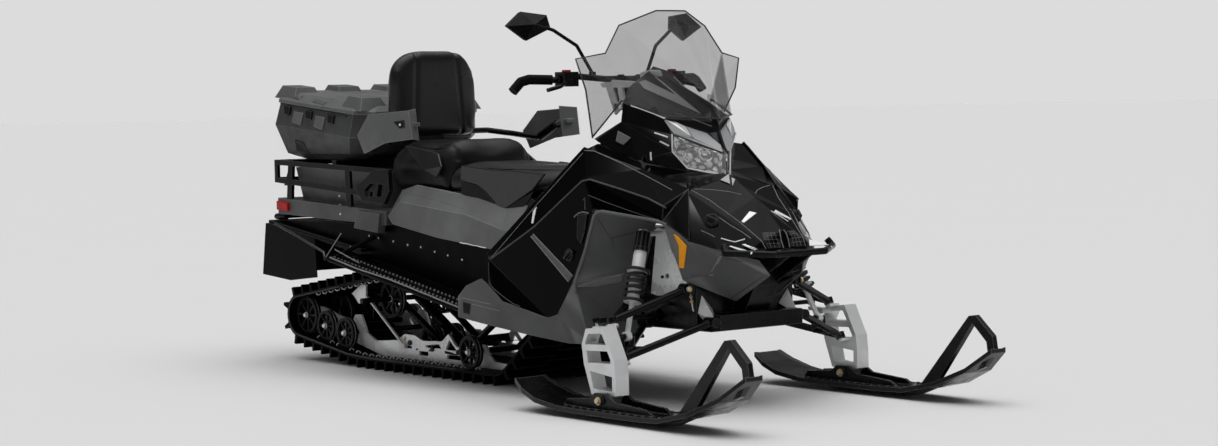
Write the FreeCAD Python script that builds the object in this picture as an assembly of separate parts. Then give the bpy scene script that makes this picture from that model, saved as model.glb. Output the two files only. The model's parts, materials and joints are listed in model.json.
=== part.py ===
"""Two-up utility snowmobile, in millimetres.

+X points to the nose, +Y to the rider's left, +Z up. The origin is on the floor, in the middle of the
machine's length and width. The right side is at negative Y, and most pieces of the left side are its
mirror image. A place is written as (x, half width, z), and half width counts out from the middle plane.
"""
import FreeCAD, Part
import math
import os

os.makedirs("parts", exist_ok=True)
V = FreeCAD.Vector

# Clearances
touch_gap = 0.3
panel_gap = 1.0
pin_gap = 0.3
joint_gap = 8.0

# Track: one belt with lugs, wrapped round the rails and wheels
track_width = 508.0
belt_thickness = 8.0
lug_height = 34.0
lug_thickness = 14.0
lug_tip_thickness = 8.0
lug_pitch = 64.0
lug_row_half_width = 120.0
belt_top = lug_height + belt_thickness

rear_idler_x = -1405.0
rear_idler_z = 178.0
rear_idler_radius = 77.0
top_idler_x = -924.0
top_idler_z = 262.0
top_idler_radius = 75.0
sprocket_x = 205.0
sprocket_z = 365.0
sprocket_radius = 88.0
rail_heel_x = -960.0
rail_heel_radius = 600.0
rail_toe_x = -96.0
rail_toe_radius = 120.0

# Rails, rail wheels and the arms between rails and tunnel
rail_half_gauge = 150.0
rail_thickness = 10.0
rail_wheel_radius = 62.0
rail_wheel_width = 24.0
rail_wheel_half_gauge = 205.0
inner_wheel_half_gauge = 52.0
top_idler_half_gauge = 118.0
wheel_belt_gap = 1.2
wheel_rim = 12.0
wheel_hub_radius = 17.0
wheel_spokes = 8
wheel_spoke_width = 7.0
axle_radius = 10.0
front_wheel_x = -290.0
inner_wheel_x = -759.0
bogie_front_x = -1125.0
bogie_rear_x = -1265.0
arm_radius = 13.0
front_arm_top_x = -60.0
front_arm_top_z = 325.0
front_arm_foot_x = -440.0
front_arm_foot_z = 88.0
rear_arm_foot_x = -610.0
rear_arm_foot_z = 90.0
crank_x = -1090.0
crank_z = 276.0
link_radius = 6.0
link_foot_x = -786.0
link_foot_z = 90.0

# Tunnel, running boards and the tail
tunnel_half_width = 270.0
tunnel_sheet = 4.0
tunnel_top = 560.0
tunnel_rear_x = -1530.0
tunnel_front_x = 345.0
board_rear_x = -900.0
board_front_x = 140.0
board_rear_z = 440.0
board_drop = 0.1744
board_thickness = 14.0
board_half_width = 418.0
board_edge_radius = 11.0
tail_board_half_width = 305.0
tail_board_rear_z = 560.0
tail_board_front_z = 468.0
flap_wall = 6.0
flap_rear_x = -1612.0
flap_bottom_z = 330.0
flap_half_width = 290.0
bumper_tube_radius = 12.0
rear_bumper_x = -1572.0

# Rear deck, rack and cargo box
deck_rear_x = -1475.0
deck_front_x = -700.0
deck_half_width = 292.0
deck_thickness = 42.0
deck_rear_z = 650.0
deck_front_z = 612.0
trunk_wall = 5.0
trunk_rear_x = -1392.0
trunk_front_x = -812.0
trunk_half_width = 256.0
trunk_top_rear = 772.0
trunk_top_front = 760.0
trunk_draft = 20.0
rack_rear_x = -1490.0
rack_front_x = -665.0
rack_half_width = 292.0
rack_bar = 20.0
rack_cross_rear_x = -1390.0
rack_cross_front_x = -1076.0
rack_upper_rear_z = 782.0
rack_upper_front_z = 752.0
rack_lower_rear_z = 712.0
rack_lower_front_z = 665.0
box_wall = 5.0
box_half_width = 296.0
box_rim_half_width = 286.0
box_rim_rear_x = -1506.0
box_rim_front_x = -858.0
box_rim_rear_z = 1036.0
box_rim_front_z = 972.0
lid_wall = 6.0
lid_rise = 44.0
lid_hump = 22.0
lid_lip = 5.0
lid_hinge_rear_x = -1330.0
lid_hinge_front_x = -1030.0
lid_hinge_half = 300.0
lid_hinge_z = 1004.4
lid_barrel_radius = 7.0
lid_barrel_length = 34.0
lid_pin_radius = 3.5
lid_ear_thickness = 8.0
deck_hole_x = -1454.0
deck_hole_half = 150.0
deck_hole_radius = 5.0

# Seats
seat_base_half_width = 222.0
seat_base_top = 690.0
seat_base_front_x = 230.0
driver_seat_front_x = 215.0
driver_seat_rear_x = -392.0
driver_seat_top = 792.0
passenger_seat_front_x = -382.0
passenger_seat_rear_x = -770.0
passenger_seat_top = 880.0
backrest_x = -752.0
backrest_half_width = 192.0
backrest_bottom = 892.0
backrest_top = 1216.0
backrest_thickness = 76.0
backrest_lean = 2.0
backrest_plate = 8.0
backrest_corner = 120.0
grab_half_width = 352.0
grab_tube_radius = 11.0
grab_grip_radius = 17.0
guard_half_width = 388.0
guard_wall = 5.0

# Front chassis
chassis_half_width = 212.0
chassis_sheet = 6.0
chassis_front_x = 1090.0
chassis_floor_z = 262.0
nose_frame_half_width = 180.0
nose_centre_half_width = 52.0
tower_sheet = 8.0
belly_sheet = 4.0
engine_length = 330.0
engine_width = 340.0
engine_height = 290.0
engine_rear_x = 400.0
support_radius = 13.0
front_bumper_x = 1250.0
front_bumper_z = 512.0

# Ski suspension and steering
kingpin_half_stance = 478.0
ski_half_stance = 532.0
ski_bolt_x = 930.0
ski_bolt_z = 61.0
ski_bolt_radius = 8.0
lower_ball_x = 935.0
lower_ball_z = 190.0
upper_ball_x = 880.0
upper_ball_z = 306.0
ball_housing_radius = 17.0
ball_housing_height = 20.0
ear_gap = 5.0
ear_thickness = 9.0
stud_radius = 7.0
wishbone_radius = 12.0
lower_pivot_front_x = 1041.0
lower_pivot_rear_x = 745.0
lower_pivot_front_z = 290.0
lower_pivot_rear_z = 276.0
upper_pivot_front_x = 966.0
upper_pivot_rear_x = 740.0
upper_pivot_front_z = 398.0
upper_pivot_rear_z = 390.0
spindle_width = 54.0
spindle_wall = 9.0
spindle_leg_radius = 22.0
tie_rod_radius = 8.0
tie_rod_x = 793.0
tie_rod_z = 300.0
tie_rod_inner_half = 120.0
tie_rod_slot_radius = 22.0
shock_top_x = 822.0
shock_top_half = 296.0
shock_top_z = 573.0
shock_foot_x = 885.0
shock_foot_half = 424.0
shock_foot_z = 252.0
shock_body_radius = 21.0
shock_rod_radius = 9.0
spring_radius = 29.0
spring_wire = 4.5
spring_turns = 4
spring_top = 132.0
spring_bottom = 228.0
spring_collar = 8.0

# Skis
ski_half_width = 88.0
ski_thickness = 14.0
ski_wall_height = 16.0
ski_wall = 9.0
saddle_wall = 9.0
saddle_gap = 6.0
ski_keel_width = 26.0
ski_keel_height = 18.0
ski_rear_x = 505.0
ski_tip_x = 1612.0
loop_bar = 20.0

# Steering
bar_x = 372.0
bar_z = 1086.0
steer_lean = 22.0
steer_post_radius = 14.0
steer_post_bottom_z = 660.0
steer_bearing_z = 835.0
bar_radius = 11.0
grip_radius = 17.0
riser_height = 105.0

# Body skin
skin = 4.0
arch_lip = 6.0
glass = 4.0
shield_foot_radius = 5.0
shield_foot_reach = 22.0


def place(x, half, z):
    """Point on the right side, half counts out from the middle plane."""
    return V(x, -half, z)


def left_of(shape):
    """Mirror image of a right-hand shape."""
    return shape.mirror(V(0, 0, 0), V(0, 1, 0))


def both(shape):
    """A right-hand shape together with its mirror image, as separate solids."""
    return Part.makeCompound([shape, left_of(shape)])


def joined(shapes):
    """One shape out of several that overlap or touch."""
    return shapes[0].fuse(shapes[1:]) if len(shapes) > 1 else shapes[0]


def save(name, shape):
    """Write one node."""
    shape.exportStep("parts/" + name + ".step")


def polygon(points):
    """Flat face inside a closed row of points."""
    return Part.Face(Part.makePolygon(points + [points[0]]))


def slab_y(outline, y0, y1):
    """Outline of (x, z) points, extruded from y0 to y1."""
    return polygon([V(x, y0, z) for x, z in outline]).extrude(V(0, y1 - y0, 0))


def slab_x(outline, x0, x1):
    """Outline of (y, z) points, extruded from x0 to x1."""
    return polygon([V(x0, y, z) for y, z in outline]).extrude(V(x1 - x0, 0, 0))


def box(x0, x1, y0, y1, z0, z1):
    """Box between two corners."""
    return Part.makeBox(x1 - x0, y1 - y0, z1 - z0, V(x0, y0, z0))


def rod(start, end, radius):
    """Round bar between two points."""
    along = end - start
    return Part.makeCylinder(radius, along.Length, start, along)


def tube_run(points, radius):
    """Round bar that follows a row of points, with round corners and flat ends."""
    parts = [rod(a, b, radius) for a, b in zip(points, points[1:])]
    parts += [Part.makeSphere(radius, p) for p in points[1:-1]]
    return joined(parts)


def triangles_of(faces):
    """Triangles, as triples of point names, of faces given as rows of point names."""
    out = []
    for face in faces:
        out += [(face[0], face[i], face[i + 1]) for i in range(1, len(face) - 1)]
    return out


def two_sided(points, faces):
    """Points and faces of the right half, completed with the left half."""
    all_points = {n: place(*p) for n, p in points.items()}
    other = {}
    for name, (x, half, z) in points.items():
        other[name] = name if half == 0 else name + " left"
        all_points[other[name]] = V(x, half, z)
    return all_points, faces + [[other[n] for n in face] for face in faces]


def one_sided(points, faces):
    """Points and faces of a right-hand panel."""
    return {n: place(*p) for n, p in points.items()}, faces


def closed_solid(skin_faces):
    """Solid inside triangular faces."""
    solid = Part.Solid(Part.Shell([polygon(f) for f in skin_faces]))
    if solid.Volume < 0:
        solid.reverse()
    return solid


def edges_of(triangle):
    """The three directed edges of a triangle."""
    a, b, c = triangle
    return (a, b), (b, c), (c, a)


def facing_out(points, triangles, inside):
    """Triangles turned so that neighbours agree and face away from the inside point."""
    waiting = list(triangles)
    agreed = [waiting.pop(0)]
    used = set(edges_of(agreed[0]))
    while waiting:
        for i, triangle in enumerate(waiting):
            same = any(e in used for e in edges_of(triangle))
            other = any((b, a) in used for a, b in edges_of(triangle))
            if same or other:
                turned = triangle[::-1] if same else triangle
                agreed.append(turned)
                used.update(edges_of(turned))
                waiting.pop(i)
                break
        else:
            raise ValueError("a facet has no neighbour")
    outward = 0.0
    for a, b, c in agreed:
        normal = (points[b] - points[a]).cross(points[c] - points[a])
        outward += normal.dot(points[a] - inside)
    return agreed if outward > 0 else [t[::-1] for t in agreed]


def faceted_panel(points, faces, wall, inside):
    """Sheet of facets, wall thick, whose thickness lies towards the inside point."""
    facets = facing_out(points, triangles_of(faces), inside)
    normals = {name: V(0, 0, 0) for name in points}
    for a, b, c in facets:
        normal = (points[b] - points[a]).cross(points[c] - points[a])
        normal.normalize()
        for corner, first, second in ((a, b, c), (b, c, a), (c, a, b)):
            angle = (points[first] - points[corner]).getAngle(points[second] - points[corner])
            normals[corner] = normals[corner] + normal * angle
    inner = {}
    for name, normal in normals.items():
        if normal.Length > 0:
            normal.normalize()
        inner[name] = points[name] - normal * wall
    skin_faces = [[points[n] for n in t] for t in facets]
    skin_faces += [[inner[n] for n in reversed(t)] for t in facets]
    edges = {e for t in facets for e in edges_of(t)}
    for a, b in sorted(edges):
        if (b, a) not in edges:
            skin_faces.append([points[b], points[a], inner[a]])
            skin_faces.append([points[b], inner[a], inner[b]])
    return closed_solid(skin_faces)


def ring_loft(rings):
    """Closed solid through rings of points, all with the same number of points."""
    skin_faces = []
    count = len(rings[0])
    for lower, upper in zip(rings, rings[1:]):
        for i in range(count):
            j = (i + 1) % count
            skin_faces.append([lower[i], lower[j], upper[j]])
            skin_faces.append([lower[i], upper[j], upper[i]])
    for ring in (rings[0], rings[-1]):
        skin_faces += [[ring[0], ring[i], ring[i + 1]] for i in range(1, count - 1)]
    return closed_solid(skin_faces)


def peg(start, direction, length, radius, carrier):
    """Round boss that stands off start and stops a touch gap short of what carries it."""
    step = V(direction)
    step.normalize()
    stops = [carrier.translated(step * shift) for shift in (-touch_gap, 0, touch_gap)]
    rest = rod(start, start + step * length, radius).cut(stops)
    return min(rest.Solids, key=lambda s: s.CenterOfMass.distanceToPoint(start))


# Path of the belt's inner surface

def belt_segments():
    """Straight runs and arcs of the belt's inner surface, from the heel forward."""
    circles = [
        (rail_heel_x, belt_top + rail_heel_radius, rail_heel_radius),
        (rail_toe_x, belt_top + rail_toe_radius, rail_toe_radius),
        (sprocket_x, sprocket_z, sprocket_radius),
        (top_idler_x, top_idler_z, top_idler_radius),
        (rear_idler_x, rear_idler_z, rear_idler_radius),
    ]
    count = len(circles)
    leave = []
    for i, (x, z, r) in enumerate(circles):
        x2, z2, r2 = circles[(i + 1) % count]
        away = math.hypot(x2 - x, z2 - z)
        leave.append(math.atan2(z2 - z, x2 - x) - math.acos((r - r2) / away))
    segments = []
    for i, (x, z, r) in enumerate(circles):
        start = leave[i - 1]
        sweep = (leave[i] - start) % (2 * math.pi)
        segments.append(("arc", x, z, r, start, sweep, r * sweep))
        x2, z2, r2 = circles[(i + 1) % count]
        nx, nz = math.cos(leave[i]), math.sin(leave[i])
        p = (x + r * nx, z + r * nz)
        q = (x2 + r2 * nx, z2 + r2 * nz)
        segments.append(("run", p, q, (nx, nz), math.hypot(q[0] - p[0], q[1] - p[1])))
    return segments


belt = belt_segments()
belt_length = sum(s[-1] for s in belt)
lug_count = round(belt_length / lug_pitch)
lug_step = belt_length / lug_count


def belt_point(distance, offset):
    """Point at a distance along the belt, offset outwards from its inner surface."""
    distance = distance % belt_length
    for segment in belt:
        if distance <= segment[-1]:
            break
        distance -= segment[-1]
    if segment[0] == "arc":
        _, x, z, r, start, sweep, length = segment
        angle = start + sweep * distance / length
        return x + (r + offset) * math.cos(angle), z + (r + offset) * math.sin(angle)
    _, p, q, normal, length = segment
    share = distance / length
    return (p[0] + (q[0] - p[0]) * share + normal[0] * offset,
            p[1] + (q[1] - p[1]) * share + normal[1] * offset)


def on_arc(distance):
    """Whether a distance along the belt lies on a tight bend."""
    distance = distance % belt_length
    for segment in belt:
        if distance <= segment[-1]:
            return segment[0] == "arc" and segment[3] < rail_heel_radius
        distance -= segment[-1]
    return False


def track_strip(y0, y1, phase):
    """One lengthwise strip of the track with its row of lugs."""
    outer = []
    for k in range(lug_count):
        middle = (k + phase) * lug_step
        for along, height in ((-lug_thickness / 2, 0), (-lug_tip_thickness / 2, lug_height),
                              (lug_tip_thickness / 2, lug_height), (lug_thickness / 2, 0)):
            outer.append(belt_point(middle + along, belt_thickness + height))
        for share in (1 / 3, 2 / 3):
            between = middle + lug_thickness / 2 + (lug_step - lug_thickness) * share
            if on_arc(between):
                outer.append(belt_point(between, belt_thickness))
    inner = []
    travelled = 0.0
    for segment in belt:
        if segment[0] == "arc":
            steps = max(2, round(math.degrees(segment[5]) / 12))
            inner += [belt_point(travelled + segment[-1] * i / steps, 0) for i in range(steps + 1)]
        travelled += segment[-1]
    rim = Part.makePolygon([V(x, y0, z) for x, z in outer + outer[:1]])
    hole = Part.makePolygon([V(x, y0, z) for x, z in inner + inner[:1]])
    return Part.Face([rim, hole]).extrude(V(0, y1 - y0, 0))


def make_track():
    """Belt with a middle row of lugs between two outer rows."""
    half = track_width / 2
    return track_strip(-half, -lug_row_half_width, 0.0).fuse([
        track_strip(-lug_row_half_width, lug_row_half_width, 0.5),
        track_strip(lug_row_half_width, half, 0.0)])


# Rail wheels and axles

def wheel_seat(x, radius):
    """Height of a wheel that rolls on the lower run at x."""
    heel = belt[0]
    run = belt[-1]
    if x > heel[1]:
        return belt_top + radius
    (x0, z0), (x1, z1) = run[1], run[2]
    slope = (z1 - z0) / (x1 - x0)
    if x < x1:
        return z0 + (x - x0) * slope + radius * math.hypot(1, slope)
    return belt_top + radius + (heel[1] - x) ** 2 / (2 * rail_heel_radius)


def wheel(x, y, z, radius):
    """Spoked wheel with a bore for its axle."""
    low = y - rail_wheel_width / 2
    across = V(0, 1, 0)
    rim = Part.makeCylinder(radius, rail_wheel_width, V(x, low, z), across)
    rim = rim.cut(Part.makeCylinder(radius - wheel_rim, rail_wheel_width, V(x, low, z), across))
    web = rail_wheel_width * 0.5
    parts = [rim, Part.makeCylinder(wheel_hub_radius, rail_wheel_width, V(x, low, z), across)]
    for k in range(wheel_spokes):
        spoke = box(0, radius - wheel_rim / 2, -web / 2, web / 2,
                    -wheel_spoke_width / 2, wheel_spoke_width / 2)
        spoke.rotate(V(0, 0, 0), across, 360.0 * k / wheel_spokes)
        spoke.translate(V(x, y, z))
        parts.append(spoke)
    bore = Part.makeCylinder(axle_radius + pin_gap, rail_wheel_width, V(x, low, z), across)
    return joined(parts).cut(bore)


axles = [
    (front_wheel_x, wheel_seat(front_wheel_x, rail_wheel_radius)),
    (inner_wheel_x, wheel_seat(inner_wheel_x, rail_wheel_radius)),
    (bogie_front_x, wheel_seat(bogie_front_x, rail_wheel_radius)),
    (bogie_rear_x, wheel_seat(bogie_rear_x, rail_wheel_radius)),
    (rear_idler_x, rear_idler_z),
]


def make_wheels():
    """All rail wheels and idlers."""
    running = rail_wheel_radius - wheel_belt_gap
    wheels = []
    for index in (0, 2, 3):
        x, z = axles[index]
        wheels += [wheel(x, side * rail_wheel_half_gauge, z, running) for side in (-1, 1)]
    x, z = axles[1]
    wheels += [wheel(x, side * inner_wheel_half_gauge, z, running) for side in (-1, 1)]
    for half in (rail_wheel_half_gauge, inner_wheel_half_gauge):
        wheels += [wheel(rear_idler_x, side * half, rear_idler_z, rear_idler_radius - wheel_belt_gap)
                   for side in (-1, 1)]
    wheels += [wheel(top_idler_x, side * top_idler_half_gauge, top_idler_z,
                     top_idler_radius - wheel_belt_gap) for side in (-1, 1)]
    return Part.makeCompound(wheels)


def cross_bar(x, z, half, radius):
    """Round bar across the machine."""
    return rod(V(x, -half, z), V(x, half, z), radius)


def make_suspension_frame():
    """Cross tubes, axles, swing arms and the centre shock between rails and tunnel."""
    inside = tunnel_half_width - tunnel_sheet
    outer_end = rail_wheel_half_gauge + rail_wheel_width / 2 + 4
    rail_out = rail_half_gauge + rail_thickness / 2 + 6
    parts = [cross_bar(x, z, outer_end, axle_radius) for x, z in axles[:1] + axles[2:]]
    parts.append(cross_bar(axles[1][0], axles[1][1], rail_out, axle_radius))
    parts.append(cross_bar(front_arm_top_x, front_arm_top_z, inside, arm_radius))
    parts.append(cross_bar(front_arm_foot_x, front_arm_foot_z, rail_out, axle_radius))
    parts.append(cross_bar(top_idler_x, top_idler_z, inside, axle_radius))
    parts.append(cross_bar(rear_arm_foot_x, rear_arm_foot_z, rail_out, axle_radius))
    front = []
    rear = []
    crank = []
    arm_half = rail_half_gauge - rail_thickness / 2 - arm_radius - 8
    carrier_half = top_idler_half_gauge - rail_wheel_width / 2 - arm_radius - 3
    for side in (-1, 1):
        front.append(rod(V(front_arm_top_x, side * arm_half, front_arm_top_z),
                         V(front_arm_foot_x, side * arm_half, front_arm_foot_z), arm_radius))
        rear.append(rod(V(top_idler_x, side * carrier_half, top_idler_z),
                        V(rear_arm_foot_x, side * carrier_half, rear_arm_foot_z), arm_radius))
        crank.append(rod(V(top_idler_x, side * carrier_half, top_idler_z),
                         V(crank_x, side * carrier_half, crank_z), arm_radius))
    shock = rod(V(top_idler_x, 0, top_idler_z), V(rear_arm_foot_x, 0, rear_arm_foot_z), 20)
    crank_bar = cross_bar(crank_x, crank_z, rail_out, arm_radius)
    return joined(parts + front + rear + crank + [shock, crank_bar])


def make_crank_links():
    """Bright bell cranks on the rear cross tube, each with its link rod down to the rail."""
    y0 = rail_half_gauge + rail_thickness / 2 + 6 + touch_gap
    plate = slab_y([(crank_x + 50, crank_z + 38), (crank_x + 12, crank_z + 34), (crank_x - 50, crank_z - 2),
                    (crank_x - 30, crank_z - 14), (crank_x - 2, crank_z - 40), (crank_x + 52, crank_z - 10)],
                   -y0 - 8, -y0)
    y = -y0 - 4
    link = rod(V(crank_x + 46, y, crank_z - 4), V(link_foot_x, y, link_foot_z), link_radius)
    foot = rod(V(link_foot_x, -y0 - 8, link_foot_z),
               V(link_foot_x, -rail_half_gauge - rail_thickness / 2, link_foot_z), link_radius + 4)
    return both(joined([plate, link, foot]))


def rail_toe(radius, angle):
    """Point on an arc round the toe's centre, angle from straight down, in degrees."""
    a = math.radians(angle)
    return rail_toe_x + radius * math.sin(a), belt_top + rail_toe_radius - radius * math.cos(a)


def make_rails():
    """Two slide rails with windows, bored for the axles and cross tubes."""
    run_angle = math.degrees(belt[2][4] + belt[2][5]) + 90
    low_radius = rail_toe_radius - wheel_belt_gap
    high_radius = low_radius - 16
    tip = 92.0
    a = math.radians(run_angle)
    low_end = rail_toe(low_radius, run_angle)
    high_end = rail_toe(high_radius, run_angle)
    low_tip = (low_end[0] + tip * math.cos(a), low_end[1] + tip * math.sin(a))
    high_tip = (high_end[0] + tip * math.cos(a), high_end[1] + tip * math.sin(a))
    floor = belt_top + touch_gap
    outline = [(rail_heel_x, floor), (rail_toe_x, floor)]
    outline += [rail_toe(low_radius, run_angle * i / 4) for i in range(1, 5)]
    outline += [low_tip, high_tip]
    outline += [rail_toe(high_radius, run_angle * i / 3) for i in (3, 2, 1)]
    outline += [(-215, floor + 26), (-245, 90), (-268, 124), (-330, 132), (-405, 104), (-455, 108), (-505, 152),
                (-548, 122), (-680, 116), (-730, 134), (-800, 134), (-850, 108), (-1000, 96),
                (-1062, 122), (-1100, 192), (-1142, 190), (-1160, 165), (-1240, 178),
                (-1372, 208), (-1430, 210), (-1436, 158), (-1300, 112), (-1150, 82)]
    windows = [
        [(-452, 92), (-500, 132), (-524, 92)],
        [(-552, 94), (-568, 108), (-660, 100), (-650, 92)],
        [(-420, 58), (-515, 58), (-515, 74), (-420, 74)],
        [(-640, 60), (-700, 60), (-700, 76), (-640, 76)],
        [(-1180, 116), (-1215, 150), (-1190, 150), (-1168, 130)],
    ]
    half = rail_thickness / 2
    plate = slab_y(outline, -rail_half_gauge - half, -rail_half_gauge + half)
    for window in windows:
        plate = plate.cut(slab_y(window, -rail_half_gauge - half, -rail_half_gauge + half))
    bores = axles + [(front_arm_foot_x, front_arm_foot_z), (rear_arm_foot_x, rear_arm_foot_z)]
    for x, z in bores:
        plate = plate.cut(cross_bar(x, z, 2 * rail_half_gauge, axle_radius + pin_gap))
    return both(plate)


def make_drive_axle():
    """Drive shaft across the tunnel with two toothed drive wheels."""
    parts = [cross_bar(sprocket_x, sprocket_z, tunnel_half_width - tunnel_sheet, 18)]
    teeth = 8
    for side in (-1, 1):
        disc = Part.makeCylinder(sprocket_radius - 12, 34, V(sprocket_x, side * 95 - 17, sprocket_z),
                                 V(0, 1, 0))
        parts.append(disc)
        for k in range(teeth):
            tooth = box(0, sprocket_radius - 1.5, -17, 17, -9, 9)
            tooth.rotate(V(0, 0, 0), V(0, 1, 0), 360.0 * k / teeth)
            tooth.translate(V(sprocket_x, side * 95, sprocket_z))
            parts.append(tooth)
    return joined(parts)


# Tunnel, boards and tail

def board_z(x):
    """Height of the running board's top at x."""
    return board_rear_z - (x - board_rear_x) * board_drop


def tail_z(x):
    """Height of the narrow tail board's top at x."""
    share = (x - board_rear_x) / (tunnel_rear_x - board_rear_x)
    return tail_board_front_z + (tail_board_rear_z - tail_board_front_z) * share


def make_tunnel():
    """Folded sheet over the track, open below and at both ends."""
    lower = [(tunnel_front_x, board_z(board_front_x)), (board_front_x, board_z(board_front_x)),
             (board_rear_x, board_z(board_rear_x)), (tunnel_rear_x, tail_z(tunnel_rear_x) - 26)]
    outline = [(tunnel_rear_x, tunnel_top), (tunnel_front_x, tunnel_top)] + lower
    outer = slab_y(outline, -tunnel_half_width, tunnel_half_width)
    inside = tunnel_half_width - tunnel_sheet
    reach = 50
    space = box(tunnel_rear_x - reach, tunnel_front_x + reach, -inside, inside, 0,
                tunnel_top - tunnel_sheet)
    return outer.cut(space)


def make_boards():
    """Running boards with a round outer edge, a narrow tail board and a brace."""
    t = board_thickness
    main = slab_y([(board_rear_x, board_z(board_rear_x)), (board_front_x, board_z(board_front_x)),
                   (board_front_x, board_z(board_front_x) - t), (board_rear_x, board_z(board_rear_x) - t)],
                  -board_half_width, -tunnel_half_width)
    edge_y = board_half_width
    middle = -t / 2
    edge = rod(place(board_rear_x, edge_y, board_z(board_rear_x) + middle),
               place(board_front_x, edge_y - board_edge_radius, board_z(board_front_x) + middle),
               board_edge_radius)
    cap = rod(place(board_rear_x, edge_y, board_z(board_rear_x) + middle),
              place(board_rear_x, tunnel_half_width, board_z(board_rear_x) + middle), board_edge_radius)
    tail = slab_y([(tunnel_rear_x, tail_z(tunnel_rear_x)), (board_rear_x + 40, tail_z(board_rear_x)),
                   (board_rear_x + 40, tail_z(board_rear_x) - t), (tunnel_rear_x, tail_z(tunnel_rear_x) - t)],
                  -tail_board_half_width, -tunnel_half_width)
    brace = rod(place(board_rear_x + 4, edge_y - 6, board_z(board_rear_x) + middle),
                place(board_rear_x + 110, tunnel_half_width + 8, tunnel_top - 44), 8)
    keep = box(-2000, 2000, -600, -tunnel_half_width, 0, 1000)
    return both(joined([main, edge, cap, tail, brace]).common(keep))


def make_rear_bumper():
    """Bent tube behind the tunnel."""
    half = tunnel_half_width - 12
    z = tunnel_top + bumper_tube_radius + touch_gap
    return tube_run([place(tunnel_rear_x + 60, half, z), place(rear_bumper_x + 30, half, z),
                     place(rear_bumper_x, half - 40, z), place(rear_bumper_x, 40 - half, z),
                     place(rear_bumper_x + 30, -half, z), place(tunnel_rear_x + 60, -half, z)],
                    bumper_tube_radius)


def make_snow_flap():
    """Flexible flap round the tunnel's rear end: one rear sheet and two side sheets."""
    w = flap_wall
    half = flap_half_width
    top = tail_board_rear_z - board_thickness - touch_gap
    lean = 32
    rear = slab_y([(flap_rear_x + lean, top), (flap_rear_x + lean + w, top),
                   (flap_rear_x + w, flap_bottom_z + 8), (flap_rear_x, flap_bottom_z + 8)], -half, half)
    under = board_thickness + touch_gap
    side = slab_y([(flap_rear_x + lean, top), (tunnel_rear_x, top), (tunnel_rear_x + 2, tail_z(tunnel_rear_x) - under),
                   (-1215, tail_z(-1215) - under),
                   (-1205, flap_bottom_z + 12), (-1400, flap_bottom_z - 8),
                   (flap_rear_x, flap_bottom_z + 8)], -half, -half + w)
    bridge = slab_y([(flap_rear_x + lean, top - w), (flap_rear_x + lean, top),
                     (tunnel_rear_x - touch_gap, top), (tunnel_rear_x - touch_gap, top - w)], -half, half)
    return joined([rear, side, left_of(side), bridge])


def deck_z(x):
    """Height of the deck's top at x."""
    share = (x - deck_rear_x) / (deck_front_x - deck_rear_x)
    return deck_rear_z + (deck_front_z - deck_rear_z) * share


def trunk_block(swell):
    """The trunk's outer shape, swollen outwards; a negative swell gives its inside."""
    x0 = trunk_rear_x - swell
    x1 = trunk_front_x + swell
    h = trunk_half_width + swell
    d = trunk_draft
    low = [V(x0 + d, -h + d, deck_z(x0 + d)), V(x1, -h + d, deck_z(x1)),
           V(x1, h - d, deck_z(x1)), V(x0 + d, h - d, deck_z(x0 + d))]
    high = [V(x0, -h, trunk_top_rear), V(x1, -h, trunk_top_front),
            V(x1, h, trunk_top_front), V(x0, h, trunk_top_rear)]
    return ring_loft([[p - V(0, 0, 2 + swell) for p in low], [p + V(0, 0, swell) for p in high]])


def make_rear_deck():
    """Moulded deck on the tunnel with corner blocks and the closed storage trunk on it."""
    bottom = tunnel_top + touch_gap
    slab = slab_y([(deck_rear_x, deck_z(deck_rear_x)), (deck_front_x, deck_z(deck_front_x)),
                   (deck_front_x, bottom), (deck_rear_x, bottom + 2 * bumper_tube_radius + 2)],
                  -deck_half_width, deck_half_width)
    under = box(deck_rear_x + 40, deck_front_x - 40, -deck_half_width + 30, deck_half_width - 30,
                bottom, tunnel_top + 22)
    holes = [rod(V(deck_hole_x, side * deck_hole_half, tunnel_top), V(deck_hole_x, side * deck_hole_half, 700),
                 deck_hole_radius) for side in (-1, 1)]
    slab = slab.cut([under] + holes)
    block = ring_loft([
        [place(-892, 262, deck_z(-892) - 4), place(-724, 262, deck_z(-724) - 4),
         place(-724, 306, deck_z(-724) - 10), place(-880, 306, deck_z(-880) - 10)],
        [place(-892, 280, tunnel_top - 14), place(-730, 280, tunnel_top - 28),
         place(-730, 312, tunnel_top - 28), place(-892, 312, tunnel_top - 14)]])
    block = block.cut(box(-1000, -600, -tunnel_half_width - touch_gap, 0, 0, tunnel_top + touch_gap))
    return joined([slab, block, left_of(block), trunk_block(0)]).cut(trunk_block(-trunk_wall))


def make_tail_lights():
    """Red lamps at the deck's rear corners."""
    g = touch_gap
    lamp = ring_loft([
        [place(-1468, deck_half_width + g, 640), place(-1388, deck_half_width + g, 632),
         place(-1388, deck_half_width + 12, 628), place(-1468, deck_half_width + 12, 636)],
        [place(-1468, deck_half_width + g, 600), place(-1388, deck_half_width + g, 596),
         place(-1388, deck_half_width + 12, 600), place(-1468, deck_half_width + 12, 604)]])
    return both(lamp)


def rack_upper_z(x):
    """Height of the underside of the rack's upper rail at x."""
    share = (x - rack_rear_x) / (rack_front_x - rack_rear_x)
    return rack_upper_rear_z + (rack_upper_front_z - rack_upper_rear_z) * share


box_bottom_z = rack_upper_rear_z + rack_bar + touch_gap


def slope_bar(x0, z0, x1, z1, half, width):
    """Square bar along the side of the rack."""
    return slab_y([(x0, z0), (x1, z1), (x1, z1 + rack_bar), (x0, z0 + rack_bar)], -half - width, -half)


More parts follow.
